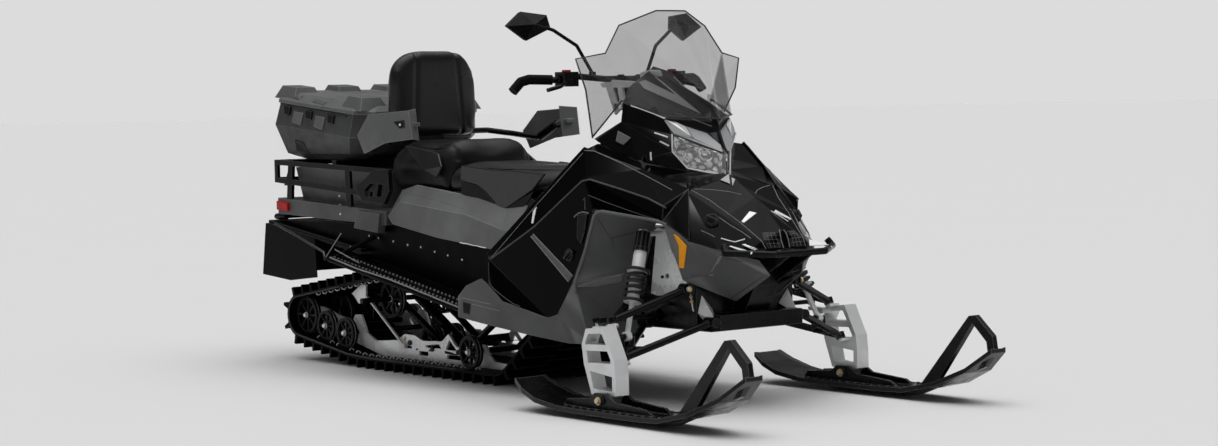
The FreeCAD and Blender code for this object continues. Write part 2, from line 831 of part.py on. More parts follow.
def make_rack():
    """Two-rail rack with posts, a rear gate and a plastic corner guard on each side."""
    half = rack_half_width - rack_bar / 2
    w = 14
    side = [slope_bar(rack_rear_x, rack_upper_rear_z, rack_front_x, rack_upper_front_z, half, w),
            slope_bar(rack_rear_x, rack_lower_rear_z, -800, rack_lower_front_z, half, w)]
    for x, lean in ((-1385, 14), (-950, -8)):
        side.append(slab_y([(x - 16, deck_z(x - 16) + touch_gap), (x + 16, deck_z(x - 16) + touch_gap),
                            (x + 16 + lean, rack_upper_rear_z - 2), (x - 16 + lean, rack_upper_rear_z - 2)],
                           -half - w, -half))
    side.append(slab_y([(rack_rear_x, rack_lower_rear_z), (rack_rear_x + 20, rack_lower_rear_z),
                        (rack_rear_x + 20, rack_upper_rear_z), (rack_rear_x, rack_upper_rear_z)],
                       -half - w, -half))
    side.append(slab_y([(-1420, 700), (-1400, 700), (-1350, 790), (-1370, 790)], -half - w, -half))
    guard = slab_y([(-890, 700), (-760, 770), (rack_front_x, 770), (rack_front_x + 6, 690),
                    (-700, 640), (-850, 650)], -half - w - 6, -half)
    guard = guard.cut(slab_y([(-830, 690), (-790, 716), (-740, 716), (-760, 668), (-820, 664)],
                             -half - w - 6, -half))
    guard = guard.cut(slab_y([(-730, 716), (-690, 712), (-686, 690), (-712, 664), (-745, 668)],
                             -half - w - 6, -half))
    side.append(guard)
    right = joined(side)
    gate = [box(rack_rear_x, rack_rear_x + w, -half, half, z, z + rack_bar)
            for z in (rack_upper_rear_z, rack_lower_rear_z)]
    for x in (rack_cross_rear_x, rack_cross_front_x):
        gate.append(box(x, x + 26, -half - 4, half + 4, rack_upper_z(x + 26) + 4, box_bottom_z - touch_gap))
    return joined([right, left_of(right)] + gate)


# Cargo box

def level(z):
    """Height that is the same all along."""
    return lambda x: z


def rim_z(x):
    """Height of the cargo box's rim, which falls towards the front."""
    share = (x - box_rim_rear_x) / (box_rim_front_x - box_rim_rear_x)
    return box_rim_rear_z + (box_rim_front_z - box_rim_rear_z) * share


def belly_z(x):
    """Height of the cargo box's widest line."""
    return rim_z(x) - 90


def cut_ring(x0, x1, half, cut, height):
    """Ring of eight points: a rectangle with cut corners, at a height that follows x."""
    corners = [(x0, -half + cut), (x0 + cut, -half), (x1 - cut, -half), (x1, -half + cut),
               (x1, half - cut), (x1 - cut, half), (x0 + cut, half), (x0, half - cut)]
    return [V(x, y, height(x)) for x, y in corners]


def box_rings(i):
    """Rings of the cargo box from its floor to its rim, moved in by i."""
    return [
        cut_ring(-1410 + i, -1030 - i, 215 - i, 50, level(box_bottom_z + i)),
        cut_ring(-1500 + i, -930 - i, 262 - i, 60, level(828 + i)),
        cut_ring(-1544 + i, -866 - i, box_half_width - i, 70, belly_z),
        cut_ring(box_rim_rear_x + i, box_rim_front_x - i, box_rim_half_width - i, 60, rim_z),
    ]


def make_cargo_box():
    """Hollow tub with sloping sides."""
    rings = box_rings(box_wall)
    above = [p + V(0, 0, 30) for p in rings[-1]]
    tub = ring_loft(box_rings(0)).cut(ring_loft(rings + [above]))
    return joined([tub] + hinge_ears(lid_hinge_rear_x) + hinge_ears(lid_hinge_front_x))


def hinge_ears(x):
    """The box's two ears at one of the lid's hinges, and the pin between them."""
    y, z = lid_hinge_half, lid_hinge_z
    root = box_rim_half_width - 1
    foot = min(rim_z(x) - 4, z + 2)
    outline = [(root, foot - 24), (y, foot - 24), (y + 6, z - 7), (y + 6, z + 6), (y - 6, z + 6), (y - 6, foot),
               (root, foot)]
    near = lid_barrel_length / 2 + pin_gap
    far = near + lid_ear_thickness
    return [slab_x(outline, x + near, x + far), slab_x(outline, x - far, x - near),
            rod(V(x - far, y, z), V(x + far, y, z), lid_pin_radius)]


def hinge_leaf(x):
    """The lid's leaf and barrel at one of its hinges."""
    y, z = lid_hinge_half, lid_hinge_z
    half = lid_barrel_length / 2
    wall = box_rim_half_width + lid_lip - 2
    leaf = slab_x([(wall, rim_z(x) + 2), (wall, rim_z(x) + 13), (y, z + 6), (y, z - 6)], x - half, x + half)
    return leaf.fuse(rod(V(x - half, y, z), V(x + half, y, z), lid_barrel_radius))


def make_lid():
    """Shallow hollow lid with raised corner pads, hinged on the left rim."""
    def over(rise):
        return lambda x: rim_z(x) + rise
    x0 = box_rim_rear_x - lid_lip
    x1 = box_rim_front_x + lid_lip
    half = box_rim_half_width + lid_lip
    w = lid_wall
    shell = ring_loft([cut_ring(x0, x1, half, 60, over(touch_gap)), cut_ring(x0, x1, half, 60, over(14)),
                       cut_ring(x0 + 40, x1 - 40, half - 46, 66, over(lid_rise))])
    hollow = ring_loft([cut_ring(x0 + w, x1 - w, half - w, 58, over(-1)),
                        cut_ring(x0 + w, x1 - w, half - w, 58, over(12)),
                        cut_ring(x0 + 40 + w, x1 - 40 - w, half - 46 - w, 64, over(lid_rise - w))])
    pads = []
    for px0, px1, y0, y1 in ((x0 + 16, x0 + 166, -half + 8, -150), (x0 + 16, x0 + 166, 150, half - 8),
                             (x0 + 16, x0 + 146, -70, 70), (x1 - 160, x1 - 18, -half + 8, -150),
                             (x1 - 160, x1 - 18, 150, half - 8)):
        i = 24
        base = [V(x, y, rim_z(x) + 16) for x, y in ((px0, y0), (px1, y0), (px1, y1), (px0, y1))]
        high = [V(x, y, rim_z(x) + lid_rise + lid_hump) for x, y in
                ((px0 + i, y0 + i), (px1 - i, y0 + i), (px1 - i, y1 - i), (px0 + i, y1 - i))]
        pads.append(ring_loft([base, high]))
    leaves = [hinge_leaf(x) for x in (lid_hinge_rear_x, lid_hinge_front_x)]
    bore = rod(V(lid_hinge_rear_x - 40, lid_hinge_half, lid_hinge_z),
               V(lid_hinge_front_x + 40, lid_hinge_half, lid_hinge_z), lid_pin_radius + pin_gap)
    return joined([shell] + pads + leaves).cut([hollow, bore])


# Seats

def seat_section(x, top, low, top_half, mid_half, low_half):
    """Cross-section of a seat at x."""
    mid = low + (top - low) * 0.55
    return [V(x, -low_half, low), V(x, -mid_half, mid), V(x, -top_half, top - 14), V(x, -top_half * 0.6, top),
            V(x, top_half * 0.6, top), V(x, top_half, top - 14), V(x, mid_half, mid), V(x, low_half, low)]


def make_driver_seat():
    """Driver's cushion, which tapers towards the console."""
    low = seat_base_top + touch_gap
    t = driver_seat_top
    return ring_loft([
        seat_section(driver_seat_rear_x, t + 6, low, 178, 212, 218),
        seat_section(-250, t, low, 176, 210, 218),
        seat_section(-50, t - 10, low, 160, 206, 218),
        seat_section(120, t - 10, low, 128, 180, 205),
        seat_section(driver_seat_front_x, t - 6, low + 20, 100, 140, 160)])


def make_passenger_seat():
    """Raised passenger cushion behind the driver's."""
    low = seat_base_top + touch_gap
    t = passenger_seat_top
    return ring_loft([
        seat_section(trunk_front_x + touch_gap, t - 30, low + 60, 170, 190, 196),
        seat_section(passenger_seat_rear_x + 40, t - 4, low, 172, 214, 218),
        seat_section(-540, t - 14, low, 170, 214, 218),
        seat_section(-450, t, low, 170, 200, 218),
        seat_section(passenger_seat_front_x - 20, t - 8, low, 160, 186, 216),
        seat_section(driver_seat_rear_x - touch_gap, t - 52, low, 150, 178, 214)])


def make_seat_base():
    """Closed moulding under both seats, hollow inside."""
    low = tunnel_top + touch_gap
    x0 = deck_front_x + touch_gap
    x1 = seat_base_front_x
    outer = slab_y([(x0, low), (x1, low), (x1, 640), (60, seat_base_top), (x0, seat_base_top)],
                   -seat_base_half_width, seat_base_half_width)
    w = 6
    hollow = slab_y([(x0 + w, low + w), (x1 - w, low + w), (x1 - w, 640 - w), (60, seat_base_top - w),
                     (x0 + w, seat_base_top - w)], -seat_base_half_width + w, seat_base_half_width - w)
    return outer.cut(hollow)


def make_side_covers():
    """Grey covers on both sides of the seat base."""
    g = touch_gap
    inner = seat_base_half_width + g
    points = {
        "rear low": (-699, 284, 594), "low 1": (-664, 288, 566), "low 2": (-374, 288, 524),
        "low 3": (-80, 288, 497), "front low": (60, 288, 488), "front mid": (96, 288, 560),
        "front top": (100, inner, 650), "top 3": (-20, inner, 640), "top 2": (-191, inner, 672),
        "top 1": (-584, inner, 712), "rear top": (-690, inner, 690), "mid 1": (-620, 280, 650),
        "mid 2": (-200, 280, 612), "mid 3": (20, 284, 566),
    }
    faces = [
        ["rear low", "low 1", "mid 1"], ["low 1", "low 2", "mid 2", "mid 1"],
        ["low 2", "low 3", "mid 3", "mid 2"], ["low 3", "front low", "front mid", "mid 3"],
        ["rear low", "mid 1", "rear top"], ["mid 1", "top 1", "rear top"],
        ["mid 1", "mid 2", "top 2", "top 1"], ["mid 2", "mid 3", "top 3", "top 2"],
        ["mid 3", "front mid", "front top", "top 3"],
    ]
    cover = faceted_panel(*one_sided(points, faces), skin, V(-300, 0, 600))
    keep = box(-1000, 400, -600, -tunnel_half_width - g, 0, tunnel_top + g)
    above = box(-1000, 400, -600, -inner, tunnel_top + g, 1000)
    return both(cover.common(keep.fuse(above)))


def make_backrest():
    """Upright pad with round upper corners, leaning back a little."""
    h = backrest_half_width
    c = backrest_corner
    arc = [(h - c + c * math.sin(math.radians(a)), backrest_top - c + c * math.cos(math.radians(a)))
           for a in (0, 22.5, 45, 67.5, 90)]
    right = arc + [(h + 4, backrest_bottom + 90), (h - 14, backrest_bottom)]
    outline = right + [(-y, z) for y, z in reversed(right)]
    pad = slab_x(outline, backrest_x - backrest_thickness, backrest_x)
    return leaned(pad)


def leaned(shape):
    """Shape tipped back with the backrest."""
    shape.rotate(V(backrest_x, 0, backrest_bottom), V(0, 1, 0), -backrest_lean)
    return shape


grip_front = V(-472, -grab_half_width, 927)
grip_rear = V(-578, -grab_half_width, 880)


def make_backrest_frame():
    """Plate behind the backrest on a foot on the trunk, and the grab bars with their grips."""
    x = backrest_x - backrest_thickness - touch_gap
    plate = leaned(box(x - backrest_plate, x, -70, 70, trunk_top_front + 8, 1110))
    foot = box(x - 62, x - 2, -120, 120, trunk_top_front - 4, trunk_top_front + 16)
    foot = foot.cut(trunk_block(touch_gap))
    bar_x = x - backrest_plate - 6
    bar = [V(bar_x, -60, 905), V(bar_x, -290, 905), V(bar_x + 66, -grab_half_width, 892),
           V(-600, -grab_half_width, 876), grip_rear]
    side = tube_run(bar, grab_tube_radius).fuse(rod(grip_rear, grip_front, grab_grip_radius))
    return joined([plate, foot, side, left_of(side)])


def make_hand_guards():
    """Shield in front of and beside each passenger grip."""
    points = {
        "front top": (-392, guard_half_width, 990), "front low": (-372, guard_half_width - 4, 886),
        "front in top": (-430, 330, 996), "front in low": (-410, 330, 880),
        "side top": (-645, guard_half_width + 6, 978), "side mid": (-735, guard_half_width, 900),
        "side low": (-690, guard_half_width, 832), "low mid": (-540, guard_half_width + 6, 872),
    }
    faces = [["front top", "front low", "front in low", "front in top"],
             ["front top", "side top", "low mid", "front low"],
             ["side top", "side mid", "side low", "low mid"]]
    guard = faceted_panel(*one_sided(points, faces), guard_wall, V(-560, 300, 930))
    along = (grip_front - grip_rear).normalize()
    arm = rod(grip_front + along * touch_gap, grip_front + along * 50, 9)
    web = box(-440, -392, -guard_half_width + 2, -guard_half_width + 50, 932, 946)
    return both(joined([guard, web, arm]))


# Body panels: places on the right side that neighbours share
ridge_rear = (595, 356, 860)
ridge_mid = (788, 274, 782)
ridge_front = (935, 203, 714)
nose_corner = (1014, 262, 556)
arch_front = (925, 300, 615)
arch_top = (700, 400, 650)
arch_mid = (650, 402, 520)
arch_rear = (590, 405, 408)
hem_front = (505, 405, 290)
hem_mid = (440, 405, 280)
hem_rear = (205, 424, 331)
step_front = (128, 420, 380)


def lowered(p, dx=0.0, dh=0.0, dz=0.0):
    """A shared place moved a little."""
    return (p[0] + dx, p[1] + dh, p[2] + dz)


def make_side_panel():
    """Large black side panel, from the foot well to the nose."""
    points = {
        "rear low": (75, 385, 490), "ridge rear": ridge_rear, "ridge mid": ridge_mid,
        "ridge front": ridge_front, "nose": nose_corner, "arch front": lowered(arch_front, 0, 0, arch_lip),
        "arch top": lowered(arch_top, -arch_lip, 0, arch_lip), "arch mid": lowered(arch_mid, -arch_lip, 0, arch_lip),
        "arch rear": lowered(arch_rear, -arch_lip, 0, arch_lip), "hem front": lowered(hem_front, -arch_lip, 0, arch_lip),
        "hem mid": lowered(hem_mid, 0, 0, arch_lip), "hem rear": lowered(hem_rear, 0, 0, arch_lip),
        "step": lowered(step_front, 0, 0, arch_lip),
        "crease top": (640, 392, 758), "crease mid": (360, 402, 580), "crease rear": (110, 402, 470),
        "crease front": (930, 298, 668),
    }
    faces = [
        ["rear low", "ridge rear", "crease top", "crease mid"], ["rear low", "crease mid", "crease rear"],
        ["ridge rear", "ridge mid", "crease top"], ["ridge mid", "ridge front", "crease front", "crease top"],
        ["crease top", "crease front", "arch front", "arch top"],
        ["crease mid", "crease top", "arch top", "arch mid"], ["crease mid", "arch mid", "arch rear"],
        ["crease mid", "arch rear", "hem front", "hem mid"],
        ["crease rear", "crease mid", "hem mid", "hem rear"], ["crease rear", "hem rear", "step"],
        ["ridge front", "nose", "arch front", "crease front"],
    ]
    return faceted_panel(*one_sided(points, faces), skin, V(550, 0, 500))


def make_lower_panel():
    """Grey moulding: foot well side, lower edge, walls of the ski arch and half of the nose."""
    wall = chassis_half_width + 3 * panel_gap
    points = {
        "foot low": (-44, 432, 262), "foot": (-42, 432, 335), "foot top": (0, 428, 374),
        "peak": (86, 424, 403), "step": step_front, "hem rear": hem_rear, "hem mid": hem_mid,
        "hem front": hem_front, "arch rear": arch_rear, "arch mid": arch_mid, "arch top": arch_top,
        "arch front": arch_front, "nose": lowered(nose_corner, 0, 4, -12),
        "low 1": (168, 426, 240), "low 2": (359, 415, 221), "low 3": (549, 410, 218),
        "low 4": (650, 395, 215),
        "wall top": (790, wall, 604), "wall mid": (742, wall, 480), "wall rear": (705, wall, 400),
        "wall low": (700, wall, 226), "roof front": (905, wall, 598),
        "arm gap": (982, 268, 430), "wall front": (932, wall, 450), "brow": (1100, 200, 516), "brow front": (1165, 100, 490),
        "prow": (1176, 82, 443), "chamfer": (1060, 205, 450), "chin": (1033, 82, 350),
    }
    faces = [
        ["foot low", "foot", "foot top", "peak", "step", "low 1"], ["step", "hem rear", "low 1"],
        ["hem rear", "hem mid", "low 2", "low 1"], ["hem mid", "hem front", "low 3", "low 2"],
        ["hem front", "arch rear", "low 4", "low 3"],
        ["arch rear", "wall rear", "wall low", "low 4"], ["arch rear", "arch mid", "wall mid", "wall rear"],
        ["arch mid", "arch top", "wall top", "wall mid"], ["arch top", "arch front", "roof front", "wall top"],
        ["arch front", "nose", "arm gap"], ["arch front", "arm gap", "wall front", "roof front"],
        ["nose", "brow", "chamfer", "arm gap"],
        ["brow", "brow front", "prow", "chamfer"], ["chamfer", "prow", "chin", "arm gap"],
    ]
    return faceted_panel(*one_sided(points, faces), skin, V(500, 0, 450))


hood_top = {
    "under lamp": (930, 0, 758), "lamp foot": (811, 92, 772), "pod foot": (690, 196, 806),
    "pod rear": (548, 258, 868),
}


def make_hood():
    """Black hood in front of and beside the cowl, down to the grille."""
    points = dict(hood_top)
    points.update({
        "ridge rear": lowered(ridge_rear, 0, -10, -8), "ridge mid": lowered(ridge_mid, -2, -8, -6),
        "ridge front": lowered(ridge_front, -2, -6, -4), "nose": lowered(nose_corner, -4, -6, -2),
        "top 1": (976, 0, 726), "top 2": (1042, 0, 686), "top 3": (1105, 0, 641), "top 4": (1170, 0, 581),
        "lip": (1190, 0, 522), "edge 1": (1060, 148, 628), "edge 2": (1170, 94, 551), "edge 3": (1188, 89, 519),
        "vee": (1094, 212, 528), "vee front": (1160, 150, 514),
    })
    faces = [
        ["under lamp", "lamp foot", "ridge front", "top 1"], ["lamp foot", "ridge mid", "ridge front"],
        ["lamp foot", "pod foot", "ridge mid"], ["pod foot", "pod rear", "ridge rear", "ridge mid"],
        ["top 1", "ridge front", "edge 1", "top 2"], ["top 2", "edge 1", "edge 2", "top 3"],
        ["top 3", "edge 2", "top 4"], ["top 4", "edge 2", "edge 3", "lip"],
        ["ridge front", "nose", "vee", "edge 1"], ["edge 1", "vee", "vee front", "edge 2"],
        ["edge 2", "vee front", "edge 3"],
    ]
    return faceted_panel(*two_sided(points, faces), skin, V(700, 0, 450))


hood = make_hood()

lamp_corners = {
    "lamp top out": (790, 140, 896), "lamp out": (775, 127, 838), "lamp low out": (811, 92, 781),
    "lamp low in": (904, 10, 755), "lamp top in": (906, 10, 828),
}


def make_cowl():
    """Upper hood round the lamps, with the gauge hood behind the windshield."""
    points = dict(lamp_corners)
    points.update({
        "gauge ridge": (560, 0, 1110), "gauge top": (566, 54, 1105), "gauge side": (545, 92, 1072),
        "apex": (806, 20, 957), "front top": (830, 0, 996), "band rear": (560, 126, 1048),
        "band front": (850, 14, 936), "spine top": (858, 0, 950), "spine 1": (876, 0, 904),
        "spine 2": (914, 0, 825), "spine low": (930, 0, 764), "shoulder": (600, 190, 1002),
        "pod top": (604, 202, 938), "pod back": (534, 264, 884), "brow out": (760, 142, 948),
        "brow in": (836, 14, 898), "pod foot": lowered(hood_top["pod foot"], 0, 0, 5),
        "pod rear": lowered(hood_top["pod rear"], 0, 0, 5), "lamp foot": lowered(hood_top["lamp foot"], 0, 0, 4),
    })
    faces = [
        ["gauge ridge", "gauge top", "apex", "front top"], ["gauge top", "gauge side", "apex"],
        ["gauge side", "band rear", "band front", "apex"], ["band rear", "shoulder", "brow out", "band front"],
        ["front top", "apex", "band front", "spine top"], ["spine top", "band front", "spine 1"],
        ["band front", "brow out", "brow in", "spine 1"],
        ["brow out", "lamp top out", "lamp top in", "brow in"], ["brow in", "lamp top in", "spine 2", "spine 1"],
        ["lamp top in", "lamp low in", "spine low", "spine 2"],
        ["shoulder", "pod top", "lamp top out", "brow out"],
        ["pod top", "pod foot", "lamp out", "lamp top out"], ["pod top", "pod back", "pod rear", "pod foot"],
        ["lamp out", "pod foot", "lamp foot", "lamp low out"],
        ["lamp low out", "lamp foot", "spine low", "lamp low in"],
    ]
    shell = faceted_panel(*two_sided(points, faces), skin, V(600, 0, 850))
    foot = peg(place(702, 186, 824), V(0, 0, -1), 60, 6, hood)
    return joined([shell, foot, left_of(foot)])


cowl = make_cowl()


def make_headlights():
    """Clear lamp lenses, one on each side of the spine, set into the cowl."""
    centre = V(0, 0, 0)
    for p in lamp_corners.values():
        centre = centre + place(*p)
    centre = centre * (1 / len(lamp_corners))
    points = {}
    for name, p in lamp_corners.items():
        corner = place(*p)
        points[name] = corner + (centre - corner) * 0.06 + V(3, -2, 0)
    points["crown"] = centre + V(10, -9, 2)
    ring = list(lamp_corners)
    faces = [[ring[i], ring[(i + 1) % 5], "crown"] for i in range(5)]
    lens = faceted_panel(points, faces, 12, V(700, 0, 800))
    return both(lens)


def shield_foot(start):
    """Bent foot from the shield's inner face down to the cowl."""
    elbow = start + V(-0.158, 0.923, 0.351) * shield_foot_reach
    return joined([rod(start, elbow, shield_foot_radius), Part.makeSphere(shield_foot_radius, elbow),
                   peg(elbow, V(0, 0, -1), 60, shield_foot_radius, cowl)])


def make_windshield():
    """Tall clear shield of flat facets with swept side wings, standing round the gauge hood."""
    points = {
        "base front": (876, 0, 942), "prow": (850, 0, 1006), "base mid": (764, 150, 954), "base side": (604, 198, 1008),
        "foot": (532, 272, 886), "top": (638, 0, 1313), "top corner": (631, 65, 1313),
        "upper corner": (586, 192, 1264), "notch": (596, 261, 1170), "wing top": (567, 365, 1152),
        "wing mid": (580, 335, 1048),
    }
    faces = [
        ["prow", "upper corner", "top corner", "top"], ["base front", "base mid", "upper corner", "prow"],
        ["base mid", "base side", "notch", "upper corner"],
        ["base side", "foot", "wing mid", "wing top", "notch"],
    ]
    shield = faceted_panel(*two_sided(points, faces), glass, V(300, 0, 1000))
    front = shield_foot(place(726, 164.3, 980))
    rear = shield_foot(place(622, 195.5, 1015))
    return joined([shield, front, left_of(front), rear, left_of(rear)])


def make_console():
    """Black console between the seat, the side panels and the steering, open below and in front."""
    x0 = seat_base_front_x + touch_gap
    rings = [
        [place(x0, 180, 600), place(x0, 120, 770), place(x0, -120, 770), place(x0, -180, 600)],
        [place(380, 316, 640), place(380, 130, 845), place(380, -130, 845), place(380, -316, 640)],
        [place(470, 326, 700), place(460, 150, 900), place(460, -150, 900), place(470, -326, 700)],
    ]
    wall = 5
    inner = []
    for ring in rings:
        inner.append([p + V(0, -wall if p.y > 0 else wall, -wall if p.z > 740 else -60) for p in ring])
    inner[0] = [p + V(wall, 0, 0) for p in inner[0]]
    inner[-1] = [p + V(20, 0, 0) for p in inner[-1]]
    hole = rod(post_point(steer_post_bottom_z), post_point(bar_z), steer_post_radius + 4)
    return ring_loft(rings).cut(ring_loft(inner)).cut(hole)


# Front chassis

def make_chassis():
    """Channel that carries the engine, with its nose frame and the tubes that hold the steering post."""
    rear = tunnel_front_x + touch_gap
    outline = [(rear, tunnel_top), (rear, chassis_floor_z), (985, chassis_floor_z),
               (985, 410), (920, 440), (920, 560)]
    outer = slab_y(outline, -chassis_half_width, chassis_half_width)
    centre = slab_y([(975, chassis_floor_z), (1010, chassis_floor_z), (chassis_front_x, 400),
                     (chassis_front_x, 480), (915, 540)], -nose_centre_half_width, nose_centre_half_width)
    cross = box(975, 1066, -nose_frame_half_width, nose_frame_half_width, chassis_floor_z, 312)
    floor = chassis_floor_z + chassis_sheet
    inside = chassis_half_width - chassis_sheet
    inner = slab_y([(rear + 6, 700), (rear + 6, floor), (979, floor), (979, 404), (914, 434), (914, 700)],
                   -inside, inside)
    shell = outer.cut(inner).fuse([centre, cross])
    slot = rod(V(tie_rod_x + 4, -300, tie_rod_z + 2), V(tie_rod_x + 4, 300, tie_rod_z + 2), tie_rod_slot_radius)
    shell = shell.cut(slot)
    tubes = []
    top = post_point(steer_bearing_z)
    for side in (-1, 1):
        tubes.append(rod(V(420, side * (inside - 8), 540), V(top.x, side * 46, top.z), support_radius))
        tubes.append(rod(V(930, side * (inside - 8), 545), V(top.x, side * 46, top.z), support_radius))
        tubes.append(rod(V(420, side * (inside - 8), 530), V(420, side * inside, 530), support_radius))
        tubes.append(rod(V(930, side * (inside - 8), 530), V(930, side * inside, 530), support_radius))
    collar = rod(V(top.x, -60, top.z), V(top.x, 60, top.z), 24)
    hole = rod(post_point(steer_post_bottom_z - 20), post_point(bar_z), steer_post_radius + pin_gap)
    frame = joined([shell, collar] + tubes).cut(hole)
    post = peg(V(1060, 0, 440), V(0, 0, 1), 300, 14, hood)
    return frame.fuse(post)


def make_towers():
    """Bright plates that carry the upper ends of the ski shocks."""
    y0 = chassis_half_width + touch_gap
    plate = slab_y([(shock_top_x - 22, shock_top_z + 16), (shock_top_x + 22, shock_top_z + 14), (872, 520),
                    (950, 412), (905, 402), (860, 372), (800, 366), (764, 372)], -y0 - tower_sheet, -y0)
    hole = rod(place(849, y0 - 1, 433), place(849, y0 + tower_sheet + 1, 433), 9)
    pin = rod(place(shock_top_x, y0, shock_top_z), place(shock_top_x, shock_top_half + 20, shock_top_z), 8)
    return both(plate.cut(hole).fuse(pin))


def make_belly_pan():
    """Sheet under the chassis, from the track to the nose."""
    z = chassis_floor_z - touch_gap
    return box(380, 1040, -chassis_half_width + 14, chassis_half_width - 14, z - belly_sheet, z)


def make_engine():
    """Engine as one plain block at its place on the chassis floor."""
    z = chassis_floor_z + chassis_sheet + touch_gap
    return box(engine_rear_x, engine_rear_x + engine_length, -engine_width / 2, engine_width / 2,
               z, z + engine_height)


def make_front_bumper():
    """Bumper tube round the nose with turned-up ends, and its bracket to the chassis."""
    z = front_bumper_z
    ends = [place(1140, 226, z + 30), place(1156, 236, z + 8), place(front_bumper_x, 112, z),
            place(front_bumper_x, -112, z), place(1156, -236, z + 8), place(1140, -226, z + 30)]
    tube = tube_run(ends, 11)
    bracket = slab_y([(chassis_front_x + touch_gap, 478), (front_bumper_x, z + 6), (front_bumper_x, z - 12),
                      (chassis_front_x + touch_gap, 410)], -nose_centre_half_width, nose_centre_half_width)
    gap = slab_y([(chassis_front_x - 10, 500), (front_bumper_x + 26, z + 40), (front_bumper_x + 26, z - 60),
                  (chassis_front_x - 10, 380)], 8 - nose_centre_half_width, nose_centre_half_width - 8)
    tabs = bracket.cut(gap)
    return joined([tube, tabs])


# Ski suspension

kingpin_low = place(lower_ball_x, kingpin_half_stance, lower_ball_z)
kingpin_high = place(upper_ball_x, kingpin_half_stance, upper_ball_z)
kingpin_axis = (kingpin_high - kingpin_low).normalize()


def ball_housing(middle):
    """Round housing on the kingpin axis, bored for the stud."""
    start = middle - kingpin_axis * (ball_housing_height / 2)
    return (Part.makeCylinder(ball_housing_radius, ball_housing_height, start, kingpin_axis),
            Part.makeCylinder(stud_radius + pin_gap, ball_housing_height + 16, start - kingpin_axis * 8,
                              kingpin_axis))


def wishbone(ball, pivots):
    """Arm with two legs from its pivot tubes to the ball housing."""
    housing, bore = ball_housing(ball)
    parts = [housing]
    for x, half, z in pivots:
        parts.append(rod(place(x, half, z), ball, wishbone_radius))
        parts.append(rod(place(x - 24, half, z), place(x + 24, half, z), wishbone_radius + 5))
    return joined(parts).cut(bore)


def make_lower_arms():
    """Lower ski arms with the shock's foot mount."""
    half = chassis_half_width + wishbone_radius + 5 + touch_gap
    front_half = nose_frame_half_width + wishbone_radius + 5 + touch_gap
    arm = wishbone(kingpin_low, [(lower_pivot_front_x, front_half, lower_pivot_front_z),
                                 (lower_pivot_rear_x, half, lower_pivot_rear_z)])
    share = 0.78
    front = place(lower_pivot_front_x, front_half, lower_pivot_front_z)
    brace_front = front + (kingpin_low - front) * share
    rear = place(lower_pivot_rear_x, half, lower_pivot_rear_z)
    brace_rear = rear + (kingpin_low - rear) * share
    brace = rod(brace_rear, brace_front, wishbone_radius)
    foot = place(shock_foot_x, shock_foot_half, shock_foot_z)
    pin = rod(foot - V(0, 24, 0), foot + V(0, 24, 0), 9)
    middle = (brace_front + brace_rear) * 0.5
    for side in (-1, 1):
        lug_top = foot + V(0, side * 21, 0)
        arm = arm.fuse(rod(V(lug_top.x, lug_top.y, middle.z), lug_top, 9))
        arm = arm.fuse(rod(V(lug_top.x, lug_top.y, middle.z), middle, 9))
    return both(joined([arm, brace, pin]))


def make_upper_arms():
    """Upper ski arms."""
    half = chassis_half_width + tower_sheet + wishbone_radius + 5 + 2 * touch_gap
    arm = wishbone(kingpin_high, [(upper_pivot_front_x, half, upper_pivot_front_z),
                                  (upper_pivot_rear_x, half, upper_pivot_rear_z)])
    return both(arm)


def make_shocks():
    """Shock bodies with their rods, from the tower to the lower arm."""
    top = place(shock_top_x, shock_top_half, shock_top_z)
    foot = place(shock_foot_x, shock_foot_half, shock_foot_z)
    along = (foot - top).normalize()
    eye_bore = rod(top + V(0, 12, 0), top - V(0, 12, 0), 8 + pin_gap)
    eye = rod(top + V(0, 11, 0), top - V(0, 11, 0), 18)
    body = rod(top + along * 17, top + along * (spring_bottom - 8), shock_body_radius)
    collar = rod(top + along * (spring_top - spring_collar), top + along * spring_top, spring_radius + 8)
    stem = rod(top + along * (spring_bottom - 10), foot - along * 4, shock_rod_radius)
    seat = rod(top + along * spring_bottom, top + along * (spring_bottom + spring_collar), spring_radius + 4)
    foot_bore = rod(foot - V(0, 30, 0), foot + V(0, 30, 0), 9 + pin_gap)
    foot_eye = rod(foot - V(0, 10, 0), foot + V(0, 10, 0), 16)
    return both(joined([eye, body, collar, stem, seat, foot_eye]).cut(eye_bore).cut(foot_bore))


def make_springs():
    """Coil springs between the collars of the ski shocks."""
    top = place(shock_top_x, shock_top_half, shock_top_z)
    foot = place(shock_foot_x, shock_foot_half, shock_foot_z)
    along = (foot - top).normalize()
    start = top + along * (spring_top + spring_wire + touch_gap)
    length = spring_bottom - spring_top - 2 * (spring_wire + touch_gap)
    helix = Part.makeHelix(length / spring_turns, length, spring_radius)
    profile = Part.Wire(Part.makeCircle(spring_wire, V(spring_radius, 0, 0), V(0, 1, 0)))
    coil = Part.Wire(helix).makePipeShell([profile], True, True)
    coil.Placement = FreeCAD.Placement(start, FreeCAD.Rotation(V(0, 0, 1), along))
    return both(coil)


tie_rod_end = place(tie_rod_x, kingpin_half_stance, tie_rod_z)


